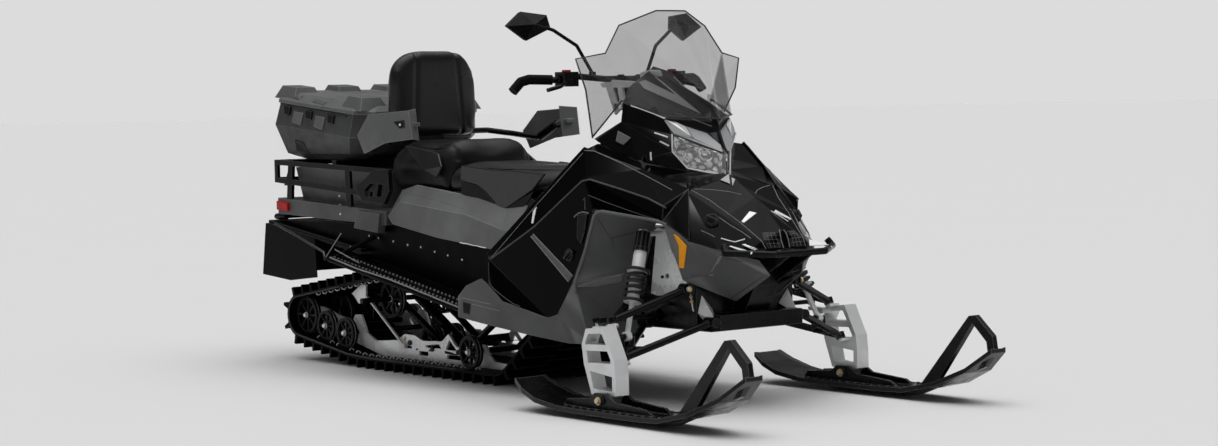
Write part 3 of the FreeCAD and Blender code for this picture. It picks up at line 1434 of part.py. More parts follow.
def make_spindle():
    """Cast steering knuckle: open box with ribs, leg round the ski bolt, ball studs and steering arm."""
    y1 = -ski_half_stance + spindle_width / 2
    y0 = y1 - spindle_width
    outline = [(866, 76), (ski_bolt_x - spindle_leg_radius, ski_bolt_z + 12),
               (ski_bolt_x + spindle_leg_radius, ski_bolt_z + 12), (990, 78), (990, 140), (984, 192),
               (930, 294), (842, 284), (820, 232), (830, 170)]
    body = slab_y(outline, y0, y1)
    openings = [
        [(908, 92), (972, 92), (972, 138), (862, 150), (876, 96)],
        [(852, 176), (966, 180), (966, 192), (950, 218), (844, 214)],
        [(838, 234), (944, 238), (922, 274), (854, 268), (838, 240)],
    ]
    for opening in openings:
        body = body.cut(slab_y(opening, y0, y1))
    y_mid = -ski_half_stance
    leg_half = spindle_width / 2
    leg = slab_y([(ski_bolt_x - spindle_leg_radius, ski_bolt_z), (ski_bolt_x + spindle_leg_radius, ski_bolt_z),
                  (ski_bolt_x + spindle_leg_radius + 22, 84), (ski_bolt_x - spindle_leg_radius - 30, 84)],
                 y_mid - leg_half, y_mid + leg_half)
    knuckle = rod(V(ski_bolt_x, y_mid - leg_half, ski_bolt_z), V(ski_bolt_x, y_mid + leg_half, ski_bolt_z),
                  spindle_leg_radius)
    parts = [body, leg, knuckle]
    for ball in (kingpin_low, kingpin_high):
        bottom = ball - kingpin_axis * (ball_housing_height / 2 + ear_gap + ear_thickness)
        ear = Part.makeCylinder(ball_housing_radius - 2, ear_thickness, bottom, kingpin_axis)
        out = bottom + kingpin_axis * (ear_thickness / 2)
        across = V(kingpin_axis.z, 0, -kingpin_axis.x) * 13
        up = kingpin_axis * (ear_thickness / 2)
        corners = [out + across + up, out - across + up, out - across - up, out + across - up]
        block = slab_y([(c.x, c.z) for c in corners], y1 - 6, out.y)
        stud = Part.makeCylinder(stud_radius, ball_housing_height + ear_gap + ear_thickness - 2, bottom,
                                 kingpin_axis)
        parts += [ear, block, stud]
    low = tie_rod_end - kingpin_axis * 26
    arm = slab_y([(low.x - 12, low.z - 6), (low.x + 10, low.z - 6), (862, 262), (862, 282), (low.x, low.z + 8),
                  (low.x - 14, low.z + 6)], -kingpin_half_stance - 12, -kingpin_half_stance + 12)
    web = box(838, 862, y1 - 6, -kingpin_half_stance, 262, 282)
    pin = rod(low, tie_rod_end + kingpin_axis * 9, 5)
    shape = joined(parts + [arm, web, pin])
    return shape.cut(rod(V(ski_bolt_x, y_mid - 40, ski_bolt_z), V(ski_bolt_x, y_mid + 40, ski_bolt_z),
                         ski_bolt_radius + pin_gap))


def make_tie_rod():
    """Tie rod from inside the chassis to the pin of the spindle's steering arm."""
    half = kingpin_axis * 8
    over = kingpin_axis * 9
    inner = V(tie_rod_x, -tie_rod_inner_half, tie_rod_z)
    eye = rod(tie_rod_end - half, tie_rod_end + half, 13)
    bar = rod(tie_rod_end + V(0, 11, 0), inner, tie_rod_radius)
    return joined([eye, bar]).cut(rod(tie_rod_end - over, tie_rod_end + over, 5 + pin_gap))


ski_profile = [(ski_rear_x, 88), (560, 60), (640, 36), (760, 20), (860, 18), (1150, 18), (1260, 22),
               (1400, 52), (1520, 104), (ski_tip_x, 172)]


def ski_half(x):
    """Half width of the ski at x."""
    if x < 600:
        return ski_half_width * (0.72 + 0.28 * (x - ski_rear_x) / (600 - ski_rear_x))
    if x < 1380:
        return ski_half_width
    return ski_half_width * (1 - 0.62 * ((x - 1380) / (ski_tip_x - 1380)) ** 1.6)


def make_ski():
    """Ski with side walls, a keel, saddle cheeks round the spindle's leg, its bolt and front loop."""
    y = -ski_half_stance
    t = ski_thickness
    rings = []
    for x, z in ski_profile:
        h = ski_half(x)
        e = ski_wall_height
        rings.append([V(x, y - h, z), V(x, y - h, z + e), V(x, y - h + ski_wall, z + e),
                      V(x, y - h + ski_wall + 6, z + t), V(x, y + h - ski_wall - 6, z + t),
                      V(x, y + h - ski_wall, z + e), V(x, y + h, z + e), V(x, y + h, z)])
    deck = ring_loft(rings)
    k = ski_keel_width / 2
    keel = slab_y([(680, 36), (820, 4), (860, 0), (1190, 0), (1260, 8), (1380, 52), (1360, 58), (1240, 34),
                   (1140, 30), (760, 30)], y - k, y + k)
    inner = spindle_width / 2 + saddle_gap
    cheek_outline = [(735, 30), (760, 56), (880, 66), (ski_bolt_x - 30, 84), (ski_bolt_x + 28, 86),
                     (1000, 62), (1160, 50), (1200, 28), (1000, 24), (800, 24)]
    cheeks = [slab_y(cheek_outline, y + side * inner - (saddle_wall if side < 0 else 0),
                     y + side * inner + (saddle_wall if side > 0 else 0)) for side in (-1, 1)]
    bolt = rod(V(ski_bolt_x, y - inner - saddle_wall - 9, ski_bolt_z),
               V(ski_bolt_x, y + inner + saddle_wall + 9, ski_bolt_z), ski_bolt_radius)
    heads = [rod(V(ski_bolt_x, y + side * (inner + saddle_wall), ski_bolt_z),
                 V(ski_bolt_x, y + side * (inner + saddle_wall + 9), ski_bolt_z), 15) for side in (-1, 1)]
    b = loop_bar / 2
    outer_shape = slab_y([(1262, 34), (1492, 286), (1520, 290), (1594, 226), (1604, 172), (1560, 122),
                          (1360, 40)], y - b, y + b)
    hole = slab_y([(1352, 62), (1508, 262), (1568, 206), (1574, 168), (1520, 124)], y - b, y + b)
    return joined([deck, keel, bolt] + cheeks + heads + [outer_shape.cut(hole)])


# Steering

def post_point(z):
    """Point on the steering axis at a height."""
    return V(bar_x + (bar_z - z) * math.tan(math.radians(steer_lean)), 0, z)


def make_handlebar():
    """Steering post, riser, bent bar, control blocks and levers."""
    top = V(bar_x, 0, bar_z)
    axis = (top - post_point(steer_post_bottom_z)).normalize()
    side_dir = axis.cross(V(0, 1, 0)).normalize()
    post = rod(post_point(steer_post_bottom_z), top - axis * 20, steer_post_radius)
    low = top - axis * riser_height
    riser_parts = []
    for side in (-1, 1):
        riser_parts.append(ring_loft([
            [low + side_dir * 30 + V(0, side * 22, 0), low + side_dir * 30 + V(0, side * 40, 0),
             low - side_dir * 30 + V(0, side * 40, 0), low - side_dir * 30 + V(0, side * 22, 0)],
            [top + side_dir * 24 + V(0, side * 28, 0), top + side_dir * 24 + V(0, side * 52, 0),
             top - side_dir * 40 + V(0, side * 52, 0), top - side_dir * 40 + V(0, side * 28, 0)]]))
    cross = ring_loft([
        [low + side_dir * 30 + V(0, -40, 0), low + side_dir * 30 + V(0, 40, 0),
         low - side_dir * 30 + V(0, 40, 0), low - side_dir * 30 + V(0, -40, 0)],
        [low + side_dir * 30 + axis * 16 + V(0, -40, 0), low + side_dir * 30 + axis * 16 + V(0, 40, 0),
         low - side_dir * 30 + axis * 16 + V(0, 40, 0), low - side_dir * 30 + axis * 16 + V(0, -40, 0)]])
    parts = [post, cross] + riser_parts
    for side in (-1, 1):
        bar = [V(bar_x, 0, bar_z), V(bar_x, side * 80, bar_z), V(356, side * 190, 1096),
               V(346, side * 279, 1085), V(312, side * 366, 1088)]
        parts.append(tube_run(bar, bar_radius))
        parts.append(box(334, 384, side * 240 - 32, side * 240 + 32, 1062, 1112))
        parts.append(tube_run([V(372, side * 250, 1076), V(400, side * 300, 1062), V(396, side * 352, 1050)], 7))
    return joined(parts)


def make_grips():
    """Rubber grips with hooked ends."""
    grips = []
    for side in (-1, 1):
        grips.append(tube_run([V(340, side * 290, 1085.5), V(312, side * 366, 1088), V(300, side * 392, 1080),
                               V(296, side * 424, 1048)], grip_radius))
    cores = [tube_run([V(346, side * 279, 1085), V(312, side * 366, 1088)], bar_radius + touch_gap)
             for side in (-1, 1)]
    return Part.makeCompound([g.cut(c) for g, c in zip(grips, cores)])


def make_mirrors():
    """Two faceted mirror heads on bent stalks that stand on the handlebar."""
    points = {
        "in top": (300, 276, 1308), "out top": (279, 372, 1320), "tip": (284, 438, 1271),
        "low": (282, 352, 1220), "in": (308, 266, 1262), "face": (268, 360, 1272),
    }
    corner = {n: place(*p) for n, p in points.items()}
    ring = ["in top", "out top", "tip", "low", "in"]
    front = {n: corner[n] for n in ring}
    back = {n: corner[n] + (corner["face"] - corner[n]) * 0.06 + V(-14, 0, 0) for n in ring}
    crown = V(325, -345, 1276)
    faces = [[front[ring[i]], front[ring[(i + 1) % 5]], crown] for i in range(5)]
    for i in range(5):
        a, b = ring[i], ring[(i + 1) % 5]
        faces.append([front[b], front[a], back[a]])
        faces.append([front[b], back[a], back[b]])
    faces += [[back[ring[0]], back[ring[i + 1]], back[ring[i]]] for i in range(1, 4)]
    head = closed_solid(faces)
    stalk = tube_run([V(352, -122, 1106), V(337, -177, 1202), V(316, -262, 1256), V(300, -310, 1272)], 6)
    foot = rod(V(352, -122, 1098), V(352, -122, 1112), 12)
    bar = tube_run([V(bar_x, 0, bar_z), V(bar_x, -80, bar_z), V(356, -190, 1096), V(346, -279, 1085)],
                   bar_radius + touch_gap)
    return both(joined([head, stalk, foot]).cut(bar))


save("track", make_track())
save("rail_wheels", make_wheels())
save("suspension_frame", make_suspension_frame())
save("crank_links", make_crank_links())
save("slide_rails", make_rails())
save("drive_axle", make_drive_axle())
save("tunnel", make_tunnel())
save("running_boards", make_boards())
save("rear_bumper", make_rear_bumper())
save("snow_flap", make_snow_flap())
save("rear_deck", make_rear_deck())
save("tail_lights", make_tail_lights())
save("rack_rails", make_rack())
save("cargo_box", make_cargo_box())
save("cargo_box_lid", make_lid())
save("seat_base", make_seat_base())
save("driver_seat", make_driver_seat())
save("passenger_seat", make_passenger_seat())
save("side_covers", make_side_covers())
save("backrest_pad", make_backrest())
save("backrest_frame", make_backrest_frame())
save("hand_guards", make_hand_guards())
side_panel = make_side_panel()
save("side_panel_right", side_panel)
save("side_panel_left", left_of(side_panel))
lower_panel = make_lower_panel()
save("lower_panel_right", lower_panel)
save("lower_panel_left", left_of(lower_panel))
save("hood", hood)
save("cowl", cowl)
save("headlights", make_headlights())
save("windshield", make_windshield())
save("console", make_console())
save("chassis", make_chassis())
save("shock_towers", make_towers())
save("belly_pan", make_belly_pan())
save("engine", make_engine())
save("front_bumper", make_front_bumper())
save("lower_arms", make_lower_arms())
save("upper_arms", make_upper_arms())
save("ski_shocks", make_shocks())
save("ski_springs", make_springs())
spindle = make_spindle()
save("spindle_right", spindle)
save("spindle_left", left_of(spindle))
tie_rod = make_tie_rod()
save("tie_rod_right", tie_rod)
save("tie_rod_left", left_of(tie_rod))
ski = make_ski()
save("ski_right", ski)
save("ski_left", left_of(ski))
save("handlebar", make_handlebar())
save("hand_grips", make_grips())
save("mirrors", make_mirrors())
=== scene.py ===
# %% [markdown]
# # A two-up utility snowmobile, dressed for its picture
#
# The construction is already there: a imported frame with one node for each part, on bodies that move.
# This lesson gives that frame its looks. Every step is one piece or one finish of the real machine, with a
# note on what it is, how it could be made, and why it was made this way. All lengths are in metres.
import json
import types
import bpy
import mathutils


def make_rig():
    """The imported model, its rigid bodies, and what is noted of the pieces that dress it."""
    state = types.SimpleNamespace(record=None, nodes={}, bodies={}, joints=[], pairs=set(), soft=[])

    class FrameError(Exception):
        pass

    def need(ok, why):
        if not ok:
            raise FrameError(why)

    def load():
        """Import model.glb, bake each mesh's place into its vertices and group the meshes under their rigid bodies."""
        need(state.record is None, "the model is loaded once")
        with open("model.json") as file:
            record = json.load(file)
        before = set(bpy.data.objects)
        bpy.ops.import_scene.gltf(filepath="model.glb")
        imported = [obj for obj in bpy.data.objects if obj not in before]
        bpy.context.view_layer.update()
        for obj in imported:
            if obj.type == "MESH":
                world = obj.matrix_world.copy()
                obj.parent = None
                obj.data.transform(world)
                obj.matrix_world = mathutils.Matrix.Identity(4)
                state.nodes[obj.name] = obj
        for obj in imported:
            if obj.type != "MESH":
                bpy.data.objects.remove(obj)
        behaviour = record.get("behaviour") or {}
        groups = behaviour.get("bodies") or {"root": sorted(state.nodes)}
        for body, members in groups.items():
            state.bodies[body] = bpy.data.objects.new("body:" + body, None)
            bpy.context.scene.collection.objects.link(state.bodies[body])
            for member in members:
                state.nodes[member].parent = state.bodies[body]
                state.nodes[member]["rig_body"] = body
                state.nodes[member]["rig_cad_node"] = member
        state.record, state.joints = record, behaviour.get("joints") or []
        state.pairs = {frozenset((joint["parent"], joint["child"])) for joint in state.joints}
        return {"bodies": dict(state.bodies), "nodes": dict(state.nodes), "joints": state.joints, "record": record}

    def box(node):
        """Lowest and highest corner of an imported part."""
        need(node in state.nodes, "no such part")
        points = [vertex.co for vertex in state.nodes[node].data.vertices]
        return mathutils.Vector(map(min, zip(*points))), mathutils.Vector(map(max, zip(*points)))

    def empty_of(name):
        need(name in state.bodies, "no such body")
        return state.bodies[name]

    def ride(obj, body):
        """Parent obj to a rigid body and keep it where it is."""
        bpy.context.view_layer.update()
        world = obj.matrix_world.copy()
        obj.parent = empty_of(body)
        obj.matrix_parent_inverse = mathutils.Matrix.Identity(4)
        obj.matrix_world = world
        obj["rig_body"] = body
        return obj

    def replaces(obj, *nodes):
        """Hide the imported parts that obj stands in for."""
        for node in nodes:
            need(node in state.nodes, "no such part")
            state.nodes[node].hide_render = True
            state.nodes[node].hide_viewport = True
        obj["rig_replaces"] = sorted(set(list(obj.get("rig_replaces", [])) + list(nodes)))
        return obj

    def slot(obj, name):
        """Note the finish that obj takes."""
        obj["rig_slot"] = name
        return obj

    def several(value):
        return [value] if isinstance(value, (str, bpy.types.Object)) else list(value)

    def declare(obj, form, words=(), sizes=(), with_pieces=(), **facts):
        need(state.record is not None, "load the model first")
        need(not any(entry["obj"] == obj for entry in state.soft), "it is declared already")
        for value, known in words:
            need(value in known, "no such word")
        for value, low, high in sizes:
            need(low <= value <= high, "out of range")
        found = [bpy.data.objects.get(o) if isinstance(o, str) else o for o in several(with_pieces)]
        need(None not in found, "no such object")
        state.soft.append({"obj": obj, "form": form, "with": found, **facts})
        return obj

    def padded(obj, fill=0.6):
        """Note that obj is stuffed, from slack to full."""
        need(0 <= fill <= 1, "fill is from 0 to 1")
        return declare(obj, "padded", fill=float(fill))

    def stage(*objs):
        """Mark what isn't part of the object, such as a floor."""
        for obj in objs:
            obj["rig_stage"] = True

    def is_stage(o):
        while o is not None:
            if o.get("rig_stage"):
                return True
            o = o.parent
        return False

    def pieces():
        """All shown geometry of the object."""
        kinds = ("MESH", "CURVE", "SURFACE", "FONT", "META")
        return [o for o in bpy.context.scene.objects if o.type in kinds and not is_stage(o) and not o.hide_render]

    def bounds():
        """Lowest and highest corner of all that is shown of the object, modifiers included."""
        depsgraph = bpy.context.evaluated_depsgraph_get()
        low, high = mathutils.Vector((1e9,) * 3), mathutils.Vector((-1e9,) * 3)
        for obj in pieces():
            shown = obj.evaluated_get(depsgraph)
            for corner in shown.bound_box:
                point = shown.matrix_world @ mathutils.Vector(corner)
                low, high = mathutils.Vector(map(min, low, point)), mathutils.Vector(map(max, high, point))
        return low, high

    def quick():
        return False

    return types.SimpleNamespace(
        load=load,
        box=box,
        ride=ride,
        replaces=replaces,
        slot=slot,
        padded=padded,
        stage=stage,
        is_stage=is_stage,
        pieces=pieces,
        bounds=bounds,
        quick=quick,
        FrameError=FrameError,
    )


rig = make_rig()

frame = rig.load()
cad_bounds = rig.bounds()

import bpy
import bmesh
import json
import math
from mathutils import Matrix, Vector

nodes = frame["nodes"]
body_of_node = {n: body for body, names in frame["record"]["behaviour"]["bodies"].items() for n in names}
slot_of_node = {row["node"]: row["material_slot"] for row in frame["record"]["subparts"]}
print("nodes", len(nodes), "bodies", len(frame["bodies"]))

# %% [markdown]
# ## Camera
#
# The camera was solved from the picture's own geometry: the track's width, the ski stance and the mirror
# symmetry of the body fix where it stood, and the picture's frame gives its lens.

# %% Camera
heading, dip, roll = math.radians(38.69), math.radians(2.85), math.radians(-1.12)
look = Vector((-math.cos(heading) * math.cos(dip), math.sin(heading) * math.cos(dip), -math.sin(dip)))
flat_right = Vector((math.sin(heading), math.cos(heading), 0))
flat_up = flat_right.cross(look)
right = flat_right * math.cos(roll) + flat_up * math.sin(roll)
up = flat_up * math.cos(roll) - flat_right * math.sin(roll)
picture_width, picture_height, focal = 1218, 446, 2433
camera_data = bpy.data.cameras.new("camera")
camera_data.sensor_width = 36.0
camera_data.lens = camera_data.sensor_width * focal / picture_width
camera = bpy.data.objects.new("camera", camera_data)
bpy.context.scene.collection.objects.link(camera)
turn = Matrix((right, up, -look)).transposed().to_4x4()
eye = Vector((6.945, -5.342, 1.007))
camera.matrix_world = Matrix.Translation(eye) @ turn
bpy.context.scene.camera = camera
bpy.context.scene.view_settings.view_transform = "Standard"

# %% [markdown]
# ## A socket that does arithmetic
#
# Shader maths is easier to read as an expression than as a web of nodes. The small class below wraps an
# output socket, so that `1 - mask * 0.4` adds the Math nodes by itself. The recipe class makes one material
# and adds any other node with its settings and inputs.

# %% Shader sentences


class Wire:
    """An output socket that can be added, multiplied and compared."""

    def __init__(self, recipe, socket):
        self.recipe = recipe
        self.socket = socket

    def math(self, operation, *others):
        values = {0: self}
        values.update({i + 1: other for i, other in enumerate(others)})
        return self.recipe.node("ShaderNodeMath", values, operation=operation)

    def __add__(self, other):
        return self.math("ADD", other)

    def __sub__(self, other):
        return self.math("SUBTRACT", other)

    def __mul__(self, other):
        return self.math("MULTIPLY", other)

    def __rsub__(self, other):
        return self.recipe.node("ShaderNodeMath", {0: other, 1: self}, operation="SUBTRACT")

    __radd__ = __add__
    __rmul__ = __mul__

    def step(self, low, high):
        """0 under low, 1 over high, with a soft step between them."""
        return self.recipe.node("ShaderNodeMapRange", {"Value": self, "From Min": low, "From Max": high},
                                interpolation_type="SMOOTHSTEP")


class Recipe:
    """One material, built node by node."""

    def __init__(self, name):
        self.material = bpy.data.materials.new(name)
        self.material.use_nodes = True
        self.tree = self.material.node_tree
        self.shader = self.tree.nodes["Principled BSDF"]
        self.place = self.node("ShaderNodeTexCoord", output="Object")

    def node(self, kind, inputs=None, output=0, **settings):
        """Adds a node, sets its settings, feeds its inputs and gives its output as a wire."""
        node = self.tree.nodes.new(kind)
        for name, value in settings.items():
            setattr(node, name, value)
        for key, value in (inputs or {}).items():
            self.feed(node.inputs[key], value)
        return Wire(self, node.outputs[output])

    def feed(self, socket, value):
        """A number or colour is set on the socket, and a wire is linked to it."""
        if isinstance(value, Wire):
            self.tree.links.new(value.socket, socket)
        else:
            socket.default_value = value

    def set(self, **values):
        """Feeds the shader's own sockets, named with underscores for spaces."""
        for name, value in values.items():
            self.feed(self.shader.inputs[name.replace("_", " ")], value)
        return self

    def noise(self, scale, detail=3.0, place=None):
        """Cloudy noise, with that many clouds to the metre."""
        return self.node("ShaderNodeTexNoise",
                         {"Vector": place or self.place, "Scale": scale, "Detail": detail})

    def cells(self, scale):
        """The distance to the middle of the nearest cell, with that many cells to the metre."""
        return self.node("ShaderNodeTexVoronoi", {"Vector": self.place, "Scale": scale})

    def stretched(self, x, y, z):
        """The object's own coordinates, stretched along its axes."""
        return self.node("ShaderNodeMapping", {"Vector": self.place, "Scale": (x, y, z)})

    def mix(self, share, first, second):
        """Two colours, mixed by a share from 0 to 1."""
        return self.node("ShaderNodeMix", {0: share, 6: first, 7: second}, output=2, data_type="RGBA")

    def bump(self, height, distance, normal=None):
        """Normals of a relief that is so deep, in metres."""
        inputs = {"Height": height, "Distance": distance}
        if normal:
            inputs["Normal"] = normal
        return self.node("ShaderNodeBump", inputs)

    def soft_edges(self, radius):
        """Normals as if every edge were rounded by a radius, as mould and paint round them."""
        return self.node("ShaderNodeBevel", {"Radius": radius}, samples=4)

    def painted_edge_highlight(self, radius):
        """1 along edges, where a painted highlight lightens them, and 0 on flat surfaces."""
        flat = self.node("ShaderNodeNewGeometry", output="True Normal")
        bent = self.node("ShaderNodeVectorMath", {0: self.soft_edges(radius), 1: flat}, output="Value",
                         operation="DOT_PRODUCT")
        return 1 - bent.step(0.93, 0.996)


def grey(level, warm=0.0):
    """A nearly neutral colour."""
    return (level * (1 + warm), level, level * (1 - warm), 1.0)

# %% [markdown]
# ## Finishes of the machine
#
# A snowmobile is mostly plastic: polished black on the sides and the hood, grained charcoal where boots and
# snow scrape, and a paler grey on the covers and the cargo box. Each finish below has its colour, a slow
# drift in it, a drift in gloss as from handling, and a fine grain as bump at the real scale.

# %% Plastic and paint


def moulded(name, level, gloss_low, gloss_high, grain, depth, specular, cool=0.0, edge=0.002, rub=0.0):
    """Moulded plastic or paint: colour drift, gloss drift and a grain of that size and depth in metres.

    Its edges are as round as edge, in metres, and lightened towards the grey level given last, as a painted highlight.
    """
    r = Recipe(name)
    drift = r.noise(5.0, 4.0)
    smudge = r.noise(23.0, 5.0).step(0.35, 0.7)
    colour = r.mix(drift.step(0.3, 0.7), grey(level * 0.82, -cool), grey(level * 1.16, -cool))
    if rub:
        # Painted highlight: the edges are lightened towards a pale grey.
        colour = r.mix(r.painted_edge_highlight(edge), colour, grey(rub, -cool))
    rough = smudge * (gloss_high - gloss_low) + gloss_low
    r.set(Base_Color=colour, Roughness=rough, Specular_IOR_Level=specular, Normal=r.soft_edges(edge))
    if grain:
        r.set(Normal=r.bump(r.cells(1.0 / grain), depth, normal=r.soft_edges(edge)))
    return r.material


# The last number of each finish lightens its edges: a painted highlight.
gloss_black = moulded("gloss_black", 0.0012, 0.1, 0.17, 0, 0, specular=0.07, edge=0.0045, rub=0.14)
# Painted shade: a darker, less reflective copy of the hood's gloss black for the upright side panels.
side_black = moulded("side_black", 0.0008, 0.1, 0.17, 0, 0, specular=0.03, edge=0.0045, rub=0.10)
charcoal = moulded("charcoal_plastic", 0.082, 0.4, 0.52, 0.0011, 0.00012, specular=0.2, cool=0.01, edge=0.005,
                   rub=0.17)
cover_grey = moulded("cover_grey", 0.15, 0.42, 0.56, 0.0012, 0.00014, specular=0.2, cool=0.012, edge=0.005,
                     rub=0.3)
cargo_grey = moulded("cargo_grey", 0.05, 0.4, 0.56, 0.0014, 0.0002, specular=0.2, cool=0.015, edge=0.005,
                     rub=0.2)
black_plastic = moulded("black_plastic", 0.0035, 0.28, 0.4, 0.001, 0.0001, specular=0.09, edge=0.0035,
                        rub=0.09)
black_steel = moulded("black_steel", 0.0025, 0.2, 0.32, 0.0006, 0.00003, specular=0.14, edge=0.003, rub=0.08)
black_sheet = moulded("black_sheet", 0.0018, 0.28, 0.4, 0.0005, 0.00003, specular=0.03, edge=0.003, rub=0.10)
ski_black = moulded("ski_plastic", 0.0035, 0.2, 0.32, 0.0022, 0.00008, specular=0.22, edge=0.0035, rub=0.14)
lid_grey = moulded("lid_grey", 0.11, 0.38, 0.54, 0.0014, 0.0002, specular=0.25, cool=0.015, edge=0.005,
                   rub=0.26)
brow_silver = moulded("brow_silver", 0.36, 0.3, 0.4, 0, 0, specular=0.3, cool=0.02, edge=0.002, rub=0.55)

# %% [markdown]
# Cast and machined alloy differ in their grain: a casting is pebbly and dull, a machined or polished rail
# shows long fine lines. Both are metallic, with a little colour drift so that they don't look like chrome.

# %% Alloy


def alloy(name, level, gloss_low, gloss_high, lines=None, metallic=0.85):
    """Bare alloy, pebbly as cast, or with lines drawn along the axes given."""
    r = Recipe(name)
    place = r.stretched(*lines) if lines else r.place
    grain = r.noise(900.0 if lines else 420.0, 3.0, place)
    dull = r.noise(14.0, 5.0).step(0.35, 0.75)
    r.set(Base_Color=r.mix(dull, grey(level, -0.012), grey(level * 0.93, 0.0)), Metallic=metallic,
          Roughness=dull * (gloss_high - gloss_low) + gloss_low,
          Normal=r.bump(grain, 0.00006, normal=r.soft_edges(0.0012)))
    return r.material


cast_alloy = alloy("cast_alloy", 0.74, 0.32, 0.46, metallic=0.5)
drawn_alloy = alloy("drawn_alloy", 0.86, 0.2, 0.34, lines=(0.03, 1.0, 1.0), metallic=0.25)
plate_alloy = alloy("plate_alloy", 0.8, 0.24, 0.4, metallic=0.25)
gold_bolt = Recipe("gold_bolt").set(Base_Color=(0.62, 0.50, 0.33, 1), Metallic=0.7, Roughness=0.3).material

# %% [markdown]
# Rubber is the dullest finish here. The belt is ribbed and a little dusty where it meets the snow, the
# flap is smooth, and the vinyl of the seats has a leathery grain with a satin sheen.

# %% Rubber and vinyl


def rubber(name, level, rough, grain):
    """Dull rubber, dusty in patches and painted paler along its edges as a highlight, with a grain of that size in
    metres.
    """
    r = Recipe(name)
    dust = r.noise(11.0, 6.0).step(0.45, 0.8)
    dusty = r.mix(dust, grey(level), grey(level * 1.9, 0.03))
    # Painted highlight: the edges are lightened towards a paler grey.
    r.set(Base_Color=r.mix(r.painted_edge_highlight(0.003), dusty, grey(min(0.3, level * 6 + 0.04))),
          Roughness=dust * 0.12 + rough, Specular_IOR_Level=0.04,
          Normal=r.bump(r.noise(1.0 / grain, 4.0), 0.0002))
    return r.material


track_rubber = rubber("track_rubber", 0.0012, 0.5, 0.002)
flap_rubber = rubber("flap_rubber", 0.0022, 0.42, 0.0015)
grip_rubber = rubber("grip_rubber", 0.004, 0.45, 0.0012)


def vinyl(name, level, rough, specular):
    """Seat vinyl with pores and fine folds, shinier where it is worn."""
    r = Recipe(name)
    pores = r.cells(520.0)
    folds = r.noise(60.0, 5.0)
    worn = r.noise(4.5, 3.0).step(0.4, 0.75)
    r.set(Base_Color=r.mix(worn, grey(level), grey(level * 1.5)), Roughness=worn * -0.07 + rough,
          Specular_IOR_Level=specular, Sheen_Weight=0.04, Normal=r.bump(pores + folds * 0.6, 0.0003))
    return r.material


seat_vinyl = vinyl("seat_vinyl", 0.005, 0.32, 0.2)
pad_vinyl = vinyl("pad_vinyl", 0.002, 0.3, 0.42)

# %% [markdown]
# The shield is tinted polycarbonate. Real refraction through a 4 mm sheet hardly bends anything, so the
# sheet is simply part clear, which also survives an export. Its two faces each take a share of the tint.

# %% Clear parts


def clear(name, colour, alpha):
    """A clear sheet that hides so much of what is behind it, a little hazy in patches."""
    r = Recipe(name)
    haze = r.noise(7.0, 3.0).step(0.3, 0.8) * 0.03
    r.set(Base_Color=colour, Alpha=haze + alpha, Roughness=haze + 0.04, Specular_IOR_Level=0.5,
          Coat_Weight=0.4)
    return r.material


shield_tint = clear("shield_tint", grey(0.03), 0.26)
lamp_lens = clear("lamp_lens", grey(0.75, -0.02), 0.03)

# %% [markdown]
# A coloured lens is moulded with small cells on its back, which break up what shines through it. The lamp's
# dish has a painted reflection: patches of light and dark in its colour, and a faint glow though the lamp is off.

# %% Lenses, dish with a painted reflection, and white strips


def lens(name, scale, bright, deep):
    """A coloured lens with that many cells to the metre, bright in their middles and deep between them."""
    r = Recipe(name)
    cell = r.cells(scale)
    r.set(Base_Color=r.mix(cell.step(0.1, 0.5), bright, deep), Roughness=0.3, Specular_IOR_Level=0.15,
          Coat_Weight=0.05, Normal=r.bump(cell, 0.0004))
    return r.material


amber = lens("amber_reflector", 330.0, (0.98, 0.42, 0.006, 1), (0.80, 0.30, 0.004, 1))
red_lens = lens("red_lens", 260.0, (0.80, 0.010, 0.008, 1), (0.33, 0.006, 0.006, 1))
# Painted reflection: light and dark patches in the dish's colour, and a faint painted glow.
dish_paint = Recipe("lamp_reflector")
dish_paint.set(Base_Color=dish_paint.mix(dish_paint.cells(44.0).step(0.38, 0.6), grey(0.95), grey(0.14)), Metallic=0.4,
           Roughness=0.1, Emission_Color=grey(1.0), Emission_Strength=0.06)
dish_painted_reflection = dish_paint.material
# White for white trim, and for the white beads and plates that paint highlights and glints.
white = Recipe("strip_white").set(Base_Color=grey(0.90, -0.01), Roughness=0.22, Coat_Weight=0.6)
strip_white = white.material

# %% [markdown]
# ## Every construction node gets its finish
#
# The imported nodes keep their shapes. A table gives each one its finish, and the pieces that are modelled
# anew further down take the same finishes by name.

# %% Finishes by node
finish_of = {
    "track": track_rubber, "rail_wheels": black_plastic, "suspension_frame": black_steel,
    "crank_links": cast_alloy, "slide_rails": drawn_alloy, "drive_axle": black_steel, "tunnel": black_sheet,
    "running_boards": black_sheet, "rear_bumper": black_steel, "snow_flap": flap_rubber,
    "rear_deck": charcoal, "tail_lights": red_lens, "rack_rails": black_plastic, "cargo_box": cargo_grey,
    "cargo_box_lid": lid_grey, "seat_base": black_plastic, "driver_seat": seat_vinyl,
    "passenger_seat": seat_vinyl, "side_covers": cover_grey, "backrest_pad": pad_vinyl,
    "backrest_frame": black_steel, "hand_guards": lid_grey, "side_panel_right": side_black,
    "side_panel_left": side_black, "lower_panel_right": charcoal, "lower_panel_left": charcoal,
    "hood": gloss_black, "cowl": black_plastic, "headlights": lamp_lens, "windshield": shield_tint,
    "console": black_plastic, "chassis": black_steel, "shock_towers": plate_alloy, "belly_pan": black_plastic,
    "engine": black_steel, "front_bumper": black_steel, "lower_arms": black_steel, "upper_arms": black_steel,
    "ski_shocks": plate_alloy, "ski_springs": black_steel, "spindle_right": cast_alloy,
    "spindle_left": cast_alloy, "tie_rod_right": black_steel, "tie_rod_left": black_steel,
    "ski_right": ski_black, "ski_left": ski_black, "handlebar": black_steel, "hand_grips": grip_rubber,
    "mirrors": black_plastic,
}
